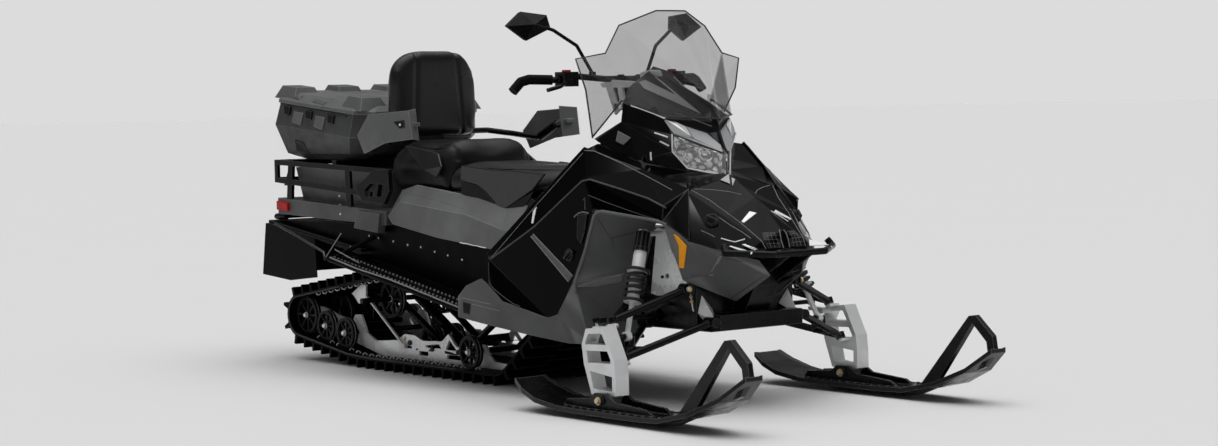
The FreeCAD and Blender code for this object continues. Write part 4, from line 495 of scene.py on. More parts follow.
for name, material in finish_of.items():
    nodes[name].data.materials.clear()
    nodes[name].data.materials.append(material)
print("finished nodes", len(finish_of))

# %% [markdown]
# ## Working on one piece at a time
#
# Operators act on whatever is selected, so each step first selects one piece alone. A construction node's
# mesh is loose triangles, and it must stay as it is, so a piece that refines it starts from a copy whose
# doubled corners are merged and whose flat triangles are joined again.

# %% Helpers


def only(piece):
    """Selects one piece alone."""
    bpy.ops.object.select_all(action="DESELECT")
    piece.select_set(True)
    bpy.context.view_layer.objects.active = piece


def in_edit(piece, steps):
    """Runs steps on a piece in edit mode, with everything in it selected."""
    only(piece)
    bpy.ops.object.mode_set(mode="EDIT")
    bpy.ops.mesh.select_all(action="SELECT")
    steps()
    bpy.ops.object.mode_set(mode="OBJECT")


def modify(piece, kind, **settings):
    """Adds a modifier, sets it and applies it."""
    only(piece)
    modifier = piece.modifiers.new(kind.lower(), kind)
    for name, value in settings.items():
        setattr(modifier, name, value)
    bpy.ops.object.modifier_apply(modifier=modifier.name)


def place_in_mesh(piece):
    """Moves an object's place, turn and scale into its mesh."""
    only(piece)
    bpy.ops.object.transform_apply(location=True, rotation=True, scale=True)


def belongs(piece, node, finish, slot=None, replaces=()):
    """A piece takes its finish, and moves with the body of the node that it belongs to."""
    piece.data.materials.clear()
    piece.data.materials.append(finish)
    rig.ride(piece, body_of_node[node])
    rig.slot(piece, slot or slot_of_node[node])
    if replaces:
        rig.replaces(piece, *replaces)
    return piece


def linked(name, data):
    """A new object in the scene."""
    piece = bpy.data.objects.new(name, data)
    bpy.context.scene.collection.objects.link(piece)
    return piece


def copy_of(node, name):
    """A merged copy of a construction node's mesh, as a new object."""
    piece = linked(name, nodes[node].data.copy())

    def steps():
        bpy.ops.mesh.remove_doubles(threshold=0.00002)
        bpy.ops.mesh.dissolve_limited(angle_limit=math.radians(1))

    in_edit(piece, steps)
    return piece


def added(primitive, **settings):
    """A new primitive, alone in the selection, with its place in its mesh."""
    bpy.ops.object.select_all(action="DESELECT")
    getattr(bpy.ops.mesh, "primitive_" + primitive + "_add")(**settings)
    piece = bpy.context.object
    place_in_mesh(piece)
    return piece


def smooth(piece, angle):
    """Shades a piece smooth, but keeps edges sharper than the angle."""
    only(piece)
    bpy.ops.object.shade_smooth_by_angle(angle=math.radians(angle))

# %% [markdown]
# Trim is placed where the picture shows it. A line of sight goes from the camera through a point of the
# picture and meets the panel somewhere, and there the trim sits, so that it is carried from any side.

# %% Helpers for trim


def sight(u, v):
    """The direction of the line of sight through a picture point."""
    return look + right * ((u - picture_width / 2) / focal) - up * ((v - picture_height / 2) / focal)


def at(u, v, axis, value):
    """Where the line of sight through a picture point reaches a plane."""
    line = sight(u, v)
    return eye + line * ((value - eye[axis]) / line[axis])


def at_side(line, half):
    """Picture points, as places in an upright plane so far to the right of the middle."""
    return [at(u, v, 1, -half) for u, v in line]


def spot(piece, u, v, lift=0.0):
    """Where the line of sight through picture point u, v meets a piece, lifted off it, and the normal.

    A point that just misses the piece moves to the nearest one that meets it, at most 4 picture points away.
    """
    bpy.context.view_layer.update()
    for ring in range(9):
        for turn in range(8 if ring else 1):
            du, dv = (ring * 0.5 * f(math.radians(45 * turn)) for f in (math.cos, math.sin))
            hit, place, normal, _ = piece.ray_cast(eye, sight(u + du, v + dv).normalized())
            if hit:
                return place + normal * lift, normal
    raise ValueError("nothing of %s at %s, %s" % (piece.name, u, v))


def seen(u, v, lift=0.0):
    """Where the line of sight through a picture point first meets anything at all, lifted off it."""
    bpy.context.view_layer.update()
    everything = bpy.context.evaluated_depsgraph_get()
    hit, place, normal, *_ = bpy.context.scene.ray_cast(everything, eye, sight(u, v).normalized())
    if not hit:
        raise ValueError("nothing at %s, %s" % (u, v))
    return place + normal * lift


def meet(piece, origin, direction, lift=0.0):
    """Where a line first meets a piece, lifted off it, or None."""
    bpy.context.view_layer.update()
    hit, place, normal, _ = piece.ray_cast(Vector(origin), Vector(direction).normalized())
    return place + normal * lift if hit else None


def face_through(corners):
    """One flat face through the corners."""
    piece = added("circle", vertices=len(corners), fill_type="NGON")
    for vertex, corner in zip(piece.data.vertices, corners):
        vertex.co = corner
    return piece


def plate(name, corners, wall, node, finish, edge=0.0008, slot=None):
    """A flat plate through the corners, half its wall to each side, with softened edges."""
    piece = face_through(corners)
    piece.name = name
    modify(piece, "SOLIDIFY", thickness=wall, offset=0.0)
    modify(piece, "BEVEL", width=edge, segments=2, limit_method="ANGLE")
    in_edit(piece, lambda: bpy.ops.mesh.normals_make_consistent(inside=False))
    return belongs(piece, node, finish, slot)


def plate_on(name, panel, outline, wall, node, finish, lift=0.0015, edge=0.0008, slot=None):
    """A plate lying on a panel, its corners given as picture points."""
    return plate(name, [spot(panel, u, v, lift)[0] for u, v in outline], wall, node, finish, edge, slot)


def bead(name, points, radius, node, finish, slot=None, smooth_line=False):
    """A round bead or rod along points, straight between them or smoothly bent."""
    line = bpy.data.curves.new(name, "CURVE")
    line.dimensions = "3D"
    spline = line.splines.new("NURBS" if smooth_line else "POLY")
    spline.points.add(len(points) - 1)
    for knot, point in zip(spline.points, points):
        knot.co = (*point, 1.0)
    if smooth_line:
        spline.order_u = 3
        spline.use_endpoint_u = True
    line.bevel_depth = radius
    line.bevel_resolution = 3
    line.use_fill_caps = True
    piece = linked(name, line)
    only(piece)
    bpy.ops.object.convert(target="MESH")
    in_edit(piece, lambda: (bpy.ops.mesh.remove_doubles(threshold=0.00001),
                            bpy.ops.mesh.normals_make_consistent(inside=False)))
    smooth(piece, 50)
    return belongs(piece, node, finish, slot)


def bead_on(name, panel, line, radius, node, finish, lift, smooth_line=False):
    """A bead lying on a panel, its points given as picture points."""
    return bead(name, [spot(panel, u, v, lift)[0] for u, v in line], radius, node, finish,
                smooth_line=smooth_line)


def both_sides(piece):
    """Adds the mirror image on the other side of the machine."""
    modify(piece, "MIRROR", use_axis=(False, True, False), use_mirror_merge=False)
    return piece


def join(pieces, name):
    """Joins pieces into the first one."""
    only(pieces[0])
    for piece in pieces[1:]:
        piece.select_set(True)
    if len(pieces) > 1:
        bpy.ops.object.join()
    pieces[0].name = name
    return pieces[0]


def stand(piece, place, normal, upward=Vector((0, 0, 1))):
    """Stands a piece that was made round the origin on a place, its z along the normal."""
    side = upward.cross(normal).normalized()
    frame_there = Matrix((side, normal.cross(side), normal)).transposed().to_4x4()
    piece.data.transform(Matrix.Translation(place) @ frame_there)
    return piece


def bolt(place, normal, radius, depth, sides=6):
    """A small bolt head with a washer."""
    washer = added("cylinder", vertices=16, radius=radius * 1.35, depth=depth * 0.4)
    head = added("cylinder", vertices=sides, radius=radius, depth=depth, location=(0, 0, depth * 0.5))
    modify(head, "BEVEL", width=radius * 0.12, segments=1)
    upward = Vector((0, 0, 1)) if abs(normal.z) < 0.9 else Vector((1, 0, 0))
    return stand(join([washer, head], "bolt"), place, normal, upward)


def bolts(name, places, radius, depth, node, finish, slot, sides=6):
    """Bolt heads as one piece, with its mirror image; each place comes with its normal."""
    heads = [bolt(place, normal, radius, depth, sides) for place, normal in places]
    return both_sides(belongs(join(heads, name), node, finish, slot))


def right_side(*points):
    """Points of the machine's right side, each given as x, half width and height."""
    return [Vector((x, -half, z)) for x, half, z in points]

# %% [markdown]
# ## Body panels
#
# The body is thin moulded plastic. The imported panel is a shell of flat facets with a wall, and a mould would
# round every crease. Bevelling a thin shell from both faces makes the two bevels collide, so the outer face
# is taken alone: its narrow rim strips are deleted, the loose inner sheet is deleted too, the creases are
# bevelled, and a new wall is grown inwards. Weighted normals keep the facets flat and blend the creases.

# %% Panel sheets
skin = 0.004
smallest_sheet = 0.01


def panel(node, name, finish, inside, crease):
    """The node's outer sheet with rounded creases and a new wall, standing for the node.

    A sheet is an outer one if it faces away from the point inside the body and isn't a mere scrap.
    """
    piece = copy_of(node, name)
    inside = Vector(inside)
    mesh = bmesh.new()
    mesh.from_mesh(piece.data)
    rims = [f for f in mesh.faces if f.calc_area() < 0.5 * f.calc_perimeter() * skin * 1.3]
    bmesh.ops.delete(mesh, geom=rims, context="FACES")
    sheets, reached = [], set()
    for face in mesh.faces:
        if face in reached:
            continue
        sheet, queue = [], [face]
        while queue:
            this = queue.pop()
            if this not in reached:
                reached.add(this)
                sheet.append(this)
                queue.extend(f for e in this.edges for f in e.link_faces if f not in reached)
        sheets.append(sheet)
    dropped = []
    for sheet in sheets:
        outward = sum(f.calc_area() * f.normal.dot(f.calc_center_median() - inside) for f in sheet)
        if outward <= 0 or sum(f.calc_area() for f in sheet) < smallest_sheet:
            dropped += sheet
    bmesh.ops.delete(mesh, geom=dropped, context="FACES")
    mesh.to_mesh(piece.data)
    mesh.free()
    modify(piece, "BEVEL", width=crease, segments=3, limit_method="ANGLE", angle_limit=math.radians(4),
           use_clamp_overlap=True)
    modify(piece, "SOLIDIFY", thickness=skin, offset=-1.0, use_even_offset=True)
    smooth(piece, 60)
    modify(piece, "WEIGHTED_NORMAL", weight=90, keep_sharp=True)
    print(name, "sheets", len(sheets), "faces", len(piece.data.polygons))
    return belongs(piece, node, finish, None, (node,))


side_right = panel("side_panel_right", "side_skin_right", side_black, (0.55, 0, 0.5), 0.0035)
panel("side_panel_left", "side_skin_left", side_black, (0.55, 0, 0.5), 0.0035)
lower_right = panel("lower_panel_right", "lower_skin_right", charcoal, (0.5, 0, 0.45), 0.004)
panel("lower_panel_left", "lower_skin_left", charcoal, (0.5, 0, 0.45), 0.004)
hood_skin = panel("hood", "hood_skin", gloss_black, (0.7, 0, 0.45), 0.003)
cowl_skin = panel("cowl", "cowl_skin", black_plastic, (0.6, 0, 0.85), 0.003)

# %% [markdown]
# ## Trim of the side panels
#
# Three small things break up each black side panel: a ribbed vent strip that runs down from the crease, a
# twist knob that locks the panel, and a rubber strap beside the ski arch. The vent is a dark plate with a
# pale rail along each edge and short ribs between the rails. The knob starts as a low cylinder with a
# twelve-sided rim; its face is inset and a thumb wing is set on it. It stands a little above the point that
# the picture gives for its middle.

# %% Vent strip
vent_outline = [(531.0, 236.6), (533.8, 233.6), (573.6, 275.6), (568.4, 282.2)]
vent_parts = [plate_on("vent", side_right, vent_outline, 0.002, "side_panel_right", charcoal, 0.001)]
for line in (((531.2, 236.4), (568.6, 281.8)), ((533.6, 234.0), (573.2, 275.8))):
    vent_parts.append(bead_on("vent_rail", side_right, line, 0.0016, "side_panel_right", cover_grey, 0.0015))
rib_count = 26
for i in range(rib_count):
    share = (i + 1) / (rib_count + 1)
    rib = ((531.2 + 37.2 * share, 236.4 + 45.2 * share), (533.6 + 39.4 * share, 234.0 + 41.6 * share))
    vent_parts.append(bead_on("vent_rib", side_right, rib, 0.001, "side_panel_right", cover_grey, 0.001))
join(vent_parts, "vent_strip_right")

# %% Twist knobs
knob_rise = Vector((0, 0, 0.005))


def knob(name, panel, u, v, radius, node, turn):
    """A twelve-sided twist knob with a thumb wing, its foot sunk into a panel."""
    disc = added("cylinder", vertices=12, radius=radius, depth=0.010)

    def steps():
        bpy.ops.mesh.select_mode(type="FACE")
        mesh = bmesh.from_edit_mesh(disc.data)
        for face in mesh.faces:
            face.select_set(face.normal.z > 0.9)
        bmesh.update_edit_mesh(disc.data)
        bpy.ops.mesh.inset(thickness=radius * 0.22, depth=0.003)
        bpy.ops.mesh.inset(thickness=radius * 0.16, depth=-0.003)

    in_edit(disc, steps)
    wing = added("cube", size=1.0, location=(0, 0, 0.010), rotation=(0, 0, turn),
                 scale=(radius * 1.8, radius * 0.42, 0.016))
    modify(wing, "BEVEL", width=0.003, segments=2)
    piece = join([disc, wing], name)
    modify(piece, "BEVEL", width=0.001, segments=2, limit_method="ANGLE", angle_limit=math.radians(35))
    smooth(piece, 30)
    place, normal = spot(panel, u, v)
    return belongs(stand(piece, place + knob_rise, normal), node, black_plastic)


knob("panel_knob_right", side_right, 569.7, 256.5, 0.022, "side_panel_right", 0.7)

# %% Arch strap
strap_outline = [(578.5, 215.0), (588.0, 213.5), (585.6, 232.0), (582.0, 244.0), (578.0, 238.0)]
strap_parts = [
    bead_on("strap_hook", side_right, [(575.0, 217.0), (578.5, 213.4), (585.0, 211.6), (589.5, 213.4)], 0.003,
            "side_panel_right", charcoal, 0.003, smooth_line=True),
    plate_on("strap", side_right, strap_outline, 0.006, "side_panel_right", black_plastic, 0.003, 0.002),
    bead_on("strap_side", side_right, [(583.5, 200.0), (585.2, 198.0), (585.2, 209.5)], 0.0014,
            "side_panel_right", charcoal, 0.001),
]
join(strap_parts, "arch_strap_right")

# %% [markdown]
# The left side carries the same trim. The machine is symmetrical, so the right side's trim is copied with its
# own mesh, mirrored across the middle plane, and its faces are turned outwards again.

# %% Left side trim


def other_side(piece, name, node):
    """A mirrored copy on the other side of the machine, with its own mesh."""
    twin = linked(name, piece.data.copy())
    twin.data.transform(Matrix.Scale(-1, 4, (0, 1, 0)))
    in_edit(twin, lambda: bpy.ops.mesh.flip_normals())
    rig.ride(twin, body_of_node[node])
    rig.slot(twin, slot_of_node[node])
    return twin


for name in ("vent_strip", "panel_knob", "arch_strap"):
    other_side(bpy.data.objects[name + "_right"], name + "_left", "side_panel_left")

# %% [markdown]
# The edge of the ski arch is a rolled lip that catches the light. It is a bead along the moulding's edge.

# %% Arch lip
lip_line = [(0.602, -0.409, 0.372), (0.596, -0.409, 0.408), (0.652, -0.404, 0.520), (0.697, -0.400, 0.636),
            (0.712, -0.398, 0.648), (0.735, -0.394, 0.650), (0.915, -0.312, 0.620), (0.940, -0.296, 0.606)]
arch_lip = bead("arch_lip_right", lip_line, 0.0055, "lower_panel_right", charcoal)
other_side(arch_lip, "arch_lip_left", "lower_panel_left")

# %% [markdown]
# ## Amber reflector
#
# A forked amber reflector sits on the moulding in front of the shock. Its plate follows the picture's outline
# on the panel, and its material is a lens of small cells.

# %% Reflector
fork = [(674.0, 233.8), (678.6, 236.6), (687.0, 246.0), (684.0, 268.2), (679.6, 267.6), (679.4, 246.0)]
amber_right = plate_on("amber_reflector_right", lower_right, fork, 0.005, "lower_panel_right", amber, 0.002,
                       0.001, slot="clear_lens")
amber_left = other_side(amber_right, "amber_reflector_left", "lower_panel_left")
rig.slot(amber_left, "clear_lens")

# %% [markdown]
# ## Hood
#
# Two small clear markers sit in the slopes of the hood, and a pair of twist knobs locks it. Its raised edges
# and its grilles follow further down.

# %% Hood trim
marker_outline = [(749.4, 211.8), (756.4, 213.4), (743.8, 223.2), (741.2, 221.8)]
both_sides(plate_on("hood_markers", hood_skin, marker_outline, 0.004, "hood", strip_white, 0.001, 0.0006,
                    "clear_lens"))
both_sides(knob("hood_knobs", hood_skin, 712.0, 222.0, 0.024, "hood", -0.5))
print("trim pieces", len(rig.pieces()))

# %% [markdown]
# ## Cowl and its lamps
#
# The cowl's upper facets are dark, and two of them are silver: one beside the gauge hood and one above the
# lamp. Each lamp is a dish of facets behind the clear lens, its colour a painted reflection with a faint glow,
# with two bulbs in rings, and a white rim under it. The dish starts as a five-sided disc in the lens's outline,
# is inset and pushed back twice, cut finer, and its corners are shaken a little with a fixed seed so that its
# facets break up what they mirror.

# %% Silver facets
brow = [(665.2, 119.8), (706.3, 133.6), (721.0, 145.2), (722.6, 152.6), (673.8, 133.8)]
glint = [(666.4, 120.4), (685.2, 127.9), (692.0, 137.6)]
gauge_facet = [(639.5, 82.4), (656.0, 77.0), (702.0, 114.5), (643.5, 88.8)]
silver_parts = [
    plate_on("brow", cowl_skin, brow, 0.003, "cowl", brow_silver, 0.0015),
    plate_on("gauge_facet", cowl_skin, gauge_facet, 0.003, "cowl", brow_silver, 0.0015),
]
both_sides(join(silver_parts, "cowl_silver"))
# Painted highlight: a white glint on the brow.
both_sides(plate_on("brow_glint", cowl_skin, glint, 0.002, "cowl", strip_white, 0.0035))

# %% White strips, the first one a painted highlight
# The first strip paints the highlight along the edge under the gauge hood.
strips = [bead_on("strip", cowl_skin, line, radius, "cowl", strip_white, 0.002) for line, radius in (
    ([(631.0, 105.0), (664.0, 117.0)], 0.0035), ([(655.0, 132.6), (668.0, 137.0)], 0.003),
    ([(660.3, 141.2), (669.2, 145.6)], 0.003), ([(650.7, 152.4), (651.2, 160.4)], 0.003))]
both_sides(join(strips, "cowl_strips"))
both_sides(plate_on("pod_plates", cowl_skin, [(618.9, 131.5), (631.4, 138.3), (624.2, 145.6), (616.5, 142.0)],
                    0.010, "cowl", cover_grey, 0.006, 0.002))

# %% Lamp dishes
lens_corners = right_side((0.790, 0.140, 0.896), (0.775, 0.127, 0.838), (0.811, 0.092, 0.781),
                          (0.904, 0.010, 0.755), (0.906, 0.010, 0.828))
lens_middle = sum(lens_corners, Vector()) / len(lens_corners)
inwards = Vector((-0.78, 0.52, -0.05)).normalized()
dish = face_through([lens_middle.lerp(corner, 0.90) + inwards * 0.012 for corner in lens_corners])


def hollow():
    """Pushes the face back in two steps and breaks its bottom into small facets."""
    bpy.ops.mesh.inset(thickness=0.008)
    bpy.ops.transform.translate(value=inwards * 0.020)
    bpy.ops.mesh.inset(thickness=0.012)
    bpy.ops.transform.translate(value=inwards * 0.014)
    bpy.ops.mesh.poke(center_mode="MEDIAN")
    bpy.ops.mesh.select_all(action="SELECT")
    bpy.ops.mesh.subdivide(number_cuts=2)
    bpy.ops.transform.vertex_random(offset=0.0035, seed=4)


in_edit(dish, hollow)
modify(dish, "SOLIDIFY", thickness=0.002, offset=0.0)
lamp_parts = [dish]
for along, radius in ((0.34, 0.020), (0.72, 0.024)):
    place = lens_corners[1].lerp(lens_corners[4], along).lerp(lens_middle, 0.3) + inwards * 0.020
    ring = added("torus", major_radius=radius, minor_radius=0.0035, major_segments=24, minor_segments=8)
    bulb = added("uv_sphere", segments=16, ring_count=8, radius=radius * 0.55)
    lamp_parts.append(stand(join([ring, bulb], "bulb"), place, -inwards))
both_sides(belongs(join(lamp_parts, "lamp_dishes"), "headlights", dish_painted_reflection))
rim_line = [lens_middle.lerp(corner, 0.99) - inwards * 0.004 for corner in lens_corners[:4]]
both_sides(bead("lamp_rims", rim_line, 0.0028, "headlights", strip_white, "clear_lens"))

# %% [markdown]
# ## Windshield edge
#
# The sheet's rim is bound with a black edge trim, a thin round bead from the prow's top round to the foot.

# %% Shield trim
rim = right_side((0.638, 0.0, 1.313), (0.631, 0.065, 1.313), (0.586, 0.192, 1.264), (0.596, 0.261, 1.170),
                 (0.567, 0.365, 1.152), (0.580, 0.335, 1.048), (0.532, 0.272, 0.886))
middle_of_shield = Vector((0.62, 0, 1.08))
trim_line = [p.lerp(middle_of_shield, 0.008) for p in rim]
both_sides(bead("shield_trim", trim_line, 0.0026, "windshield", black_plastic))
base_line = right_side((0.876, 0.0, 0.944), (0.764, 0.150, 0.956), (0.604, 0.198, 1.010),
                       (0.532, 0.272, 0.888))
both_sides(bead("shield_base_trim", base_line, 0.003, "windshield", black_plastic))

# %% [markdown]
# ## Seats and backrest
#
# A vinyl cushion isn't a block: it is crowned, and its cover pulls in at the seams. Each one starts a little
# smaller than its construction solid, is remeshed to an even skin, and is blown up by a short cloth
# simulation with a cap on how far any point may move. The seams are pressed in afterwards, because the
# remesh would erase them, and one subdivision smooths the skin. The underside stays flat where it rests, and
# the smoothed cushion is stretched back to the outer size of its solid.

# %% Cushions
cloth_frames, cloth_pressure = 20, 4.0
cover_gap, seam_gap = 0.001, 0.0005


def swell(piece):
    """Blows the piece up like a pillow, by a short cloth simulation."""
    only(piece)
    cloth = piece.modifiers.new("swell", "CLOTH")
    cloth.settings.use_pressure = True
    cloth.settings.uniform_pressure_force = cloth_pressure
    cloth.settings.effector_weights.gravity = 0.0
    cloth.settings.quality = 4
    for frame_number in range(1, cloth_frames + 1):
        bpy.context.scene.frame_set(frame_number)
    bpy.ops.object.modifier_apply(modifier=cloth.name)
    bpy.context.scene.frame_set(1)


def cushion(node, finish, shrink, cap, voxel, seams, name, rounds=45):
    """A blown up cushion in the space of its node; seams(point) tells how deep a seam is there.

    The rounds of smoothing even out voxel steps and fine wrinkles, as tight vinyl does over foam.
    """
    low, high = (Vector(corner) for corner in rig.box(node))
    middle, size = (low + high) / 2, high - low
    piece = copy_of(node, name)
    squeeze = [1 - 2 * shrink / s for s in size]
    in_edit(piece, lambda: bpy.ops.transform.resize(value=squeeze, center_override=middle))
    modify(piece, "REMESH", mode="VOXEL", voxel_size=voxel)
    start = [v.co.copy() for v in piece.data.vertices]
    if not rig.quick():
        swell(piece)
    farthest = 0.0
    for vertex, was in zip(piece.data.vertices, start):
        move = vertex.co - was
        if move.length > cap:
            move *= cap / move.length
        farthest = max(farthest, move.length)
        place = was + move
        place.z = max(place.z, low.z + cover_gap)
        vertex.co = place
    modify(piece, "SMOOTH", factor=0.5, iterations=rounds)
    mesh = piece.data
    for axis in range(3):
        values = [v.co[axis] for v in mesh.vertices]
        least, most = min(values), max(values)
        gain = (high[axis] - low[axis] - 2 * cover_gap) / (most - least)
        for vertex in mesh.vertices:
            vertex.co[axis] = low[axis] + cover_gap + (vertex.co[axis] - least) * gain
    mesh.update()
    pressed = [v.co - v.normal * seams(v.co) for v in mesh.vertices]
    for vertex, place in zip(mesh.vertices, pressed):
        for axis in range(3):
            vertex.co[axis] = min(max(place[axis], low[axis] + seam_gap), high[axis] - seam_gap)
    modify(piece, "SUBSURF", levels=1, render_levels=1)
    only(piece)
    bpy.ops.object.shade_smooth()
    belongs(piece, node, finish, None, (node,))
    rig.padded(piece, fill=0.7)
    print(name, "points", len(mesh.vertices), "moved up to %.1f mm" % (farthest * 1000))
    return piece


def between(value, low, high):
    """0 under low, 1 over high, and a straight line between them."""
    return max(0.0, min(1.0, (value - low) / (high - low)))


def groove(distance, depth, width):
    """Depth of a sewn groove at a distance from its line."""
    return depth * math.exp(-(distance / width) ** 2)


def backrest_seams(p):
    """Two upright seams on the front, closer together at the top, with the wings beside them pressed back."""
    front = between(p.x, -0.80, -0.78)
    share = (p.z - 0.89) / 0.33
    upright = groove(abs(p.y) - (0.112 - 0.022 * share), 0.007, 0.007)
    wing = 0.006 * between(abs(p.y), 0.118, 0.168)
    return (upright + wing) * front


def driver_seams(p):
    """A seam along each top edge, which runs inwards as the seat narrows to the front."""
    edge = 0.166 - 0.060 * between(p.x, -0.05, 0.21)
    return groove(abs(p.y) - edge, 0.004, 0.010) if p.z > 0.745 else 0.0


def passenger_seams(p):
    """A seam along each top edge."""
    return groove(abs(p.y) - 0.158, 0.004, 0.010) if p.z > 0.80 else 0.0


cushion("backrest_pad", pad_vinyl, 0.003, 0.008, 0.006, backrest_seams, "backrest_cushion", 70)
driver = cushion("driver_seat", seat_vinyl, 0.004, 0.010, 0.008, driver_seams, "driver_cushion")
passenger = cushion("passenger_seat", seat_vinyl, 0.004, 0.010, 0.008, passenger_seams, "passenger_cushion")

# %% [markdown]
# A cord of piping is sewn into the top edge of each seat. It lies where a slanting line from outside first
# meets the cushion, so it follows the crowned shape.

# %% Piping


def piping(name, piece, node, stations):
    """Piping along both top edges of a seat; each station is x, the edge's half width and its height."""
    points = [meet(piece, (x, -half - 0.15, z + 0.15), (0, 1, -1), -0.0005) for x, half, z in stations]
    return both_sides(bead(name, points, 0.0026, node, seat_vinyl, smooth_line=True))


piping("driver_piping", driver, "driver_seat", [
    (x, half, 0.775) for x, half in ((-0.368, 0.172), (-0.330, 0.172), (-0.250, 0.170), (-0.150, 0.164),
                                     (-0.050, 0.156), (0.040, 0.142), (0.120, 0.126), (0.176, 0.112))])
piping("passenger_piping", passenger, "passenger_seat", [
    (x, 0.166, z) for x, z in ((-0.780, 0.84), (-0.740, 0.855), (-0.680, 0.858), (-0.610, 0.856),
                               (-0.540, 0.855), (-0.480, 0.862), (-0.436, 0.864))])

# %% [markdown]
# ## Wheels of the rear suspension
#
# Each wheel is a spoked plastic disc with a tyre of grey rubber and a bright hub nut. The tyre's pale grey and
# the hub's white are partly their own colour and partly a painted highlight. The construction has the discs;
# their centres and radii are measured from a copy, split into loose wheels. One tyre and one hub are modelled
# and copied to every wheel.

# %% Tyres and hubs
least_wheel, least_points = 0.09, 60
wheel_copy = copy_of("rail_wheels", "wheels_measured")
in_edit(wheel_copy, lambda: bpy.ops.mesh.separate(type="LOOSE"))
wheel_parts = list(bpy.context.selected_objects)
wheel_sizes = []
for part in wheel_parts:
    points = [v.co for v in part.data.vertices]
    low = Vector([min(p[i] for p in points) for i in range(3)])
    high = Vector([max(p[i] for p in points) for i in range(3)])
    if high.z - low.z > least_wheel and len(points) > least_points:
        wheel_sizes.append(((low + high) / 2, (high.z - low.z) / 2, high.y - low.y))
for part in wheel_parts:
    bpy.data.objects.remove(part)
print("wheels", len(wheel_sizes))
# Partly painted highlight: the tyre rubber is paler than its own grey.
tyre_grey_and_highlight = rubber("tyre_rubber", 0.2, 0.45, 0.0015)
tyres, hubs = [], []
for middle, radius, width in wheel_sizes:
    tyre = added("torus", major_radius=radius - 0.0045, minor_radius=0.005, major_segments=40,
                 minor_segments=8, rotation=(math.pi / 2, 0, 0))
    widened = Matrix.Scale(max(1.0, min(2.4, width / 0.012)), 4, (0, 1, 0))
    tyre.data.transform(Matrix.Translation(middle) @ widened)
    tyres.append(tyre)
    outer = math.copysign(1, middle.y) if abs(middle.y) > 0.02 else -1
    face = middle + Vector((0, outer * (width / 2 + 0.001), 0))
    hubs.append(bolt(face, Vector((0, outer, 0)), 0.0085, 0.010))
tyres = join(tyres, "wheel_tyres")
smooth(tyres, 60)
belongs(tyres, "rail_wheels", tyre_grey_and_highlight, "track_rubber")
# Partly painted highlight: the hubs are white, brighter than their metal, where they stand in shade.
belongs(join(hubs, "wheel_hubs"), "rail_wheels", strip_white, "silver_alloy")

# %% [markdown]
# ## Running boards and tunnel
#
# The boards end in a rolled edge and carry rows of raised teeth that grip a boot, painted pale grey as a
# highlight. One tooth is a small wedge, copied along the board; a line dropped onto the board gives its height, or
# finds a gap and no tooth. The tunnel side has a row of rivets.

# %% Board edge and teeth
board = nodes["running_boards"]
tooth_rows, tooth_count, tooth_start, tooth_pace = (0.408, 0.352), 34, -0.880, 0.024
edge_stations = (-0.885, -0.7, -0.5, -0.35, -0.2, -0.06)
edge_tries = (0.438, 0.434, 0.430, 0.425, 0.418, 0.410, 0.40, 0.39, 0.38)


def under(piece, x, y, lift=0.0):
    """Where a line dropped from above first meets a piece, lifted off it, or None."""
    return meet(piece, (x, y, 0.9), (0, 0, -1), lift)


def board_edge(x):
    """The outermost point of the board's top at a station, or None."""
    found = (under(board, x, -half, 0.001) for half in edge_tries)
    return next((place for place in found if place is not None), None)


teeth = []
for half in tooth_rows:
    for i in range(tooth_count):
        place = under(board, tooth_start + i * tooth_pace, -half)
        if place is not None:
            teeth.append(added("cone", vertices=4, radius1=0.0062, radius2=0.003, depth=0.007,
                               location=place + Vector((0, 0, 0.003))))
# Painted highlight: the teeth take a pale grey.
both_sides(belongs(join(teeth, "board_teeth"), "running_boards", lid_grey))
edge_points = [place for place in map(board_edge, edge_stations) if place is not None]
print("teeth", len(teeth), "edge", [tuple(round(c, 3) for c in place) for place in edge_points])
both_sides(bead("board_edges", edge_points, 0.0028, "running_boards", cover_grey))
rivets = [(369.3, 235.7), (378.6, 238.0), (393.4, 241.4), (407.7, 245.0), (421.0, 247.3), (434.8, 251.8),
          (447.9, 255.4), (462.1, 259.8)]
bolts("tunnel_rivets", [spot(nodes["tunnel"], u, v) for u, v in rivets], 0.003, 0.0025, "tunnel", plate_alloy,
      "silver_alloy", 10)

# %% [markdown]
# ## Cargo box
#
# The box has a rubber seal under its lid, three rubber latches on each side and pale pads beside them. The
# lid carries flat grip pads. They are thin plates laid on the box, mirrored to the far side.

# %% Latches and pads
rear_end, rear_rim, rim_slope = -1.503, 1.039, 0.1137


def on_box(x, below):
    """A point on the box's right side, some way below its rim, which slopes down to the front."""
    rim_height = rear_rim - rim_slope * (x - rear_end)
    return meet(nodes["cargo_box"], (x, -0.6, rim_height - below), (0, 1, 0), 0.002)


def box_plates(name, stations, corners, wall, finish, edge):
    """Plates on the box's side and on its mirror image; a corner is how far forward and below the rim."""
    plates = [plate("plate", [on_box(x + forward, below) for forward, below in corners], wall, "cargo_box",
                    finish, edge) for x in stations]
    return both_sides(join(plates, name))


latch = ((-0.024, 0.012), (0.024, 0.012), (0.018, 0.046), (-0.018, 0.046))
tab = ((-0.030, 0.026), (0.036, 0.026), (0.022, 0.076), (-0.040, 0.070))
pocket = ((-0.040, 0.140), (0.020, 0.145), (0.040, 0.185), (-0.050, 0.185))
box_plates("box_latches", (-1.385, -1.225, -1.065), latch, 0.014, black_plastic, 0.003)
box_plates("box_tabs", (-1.305, -1.145), tab, 0.006, lid_grey, 0.001)
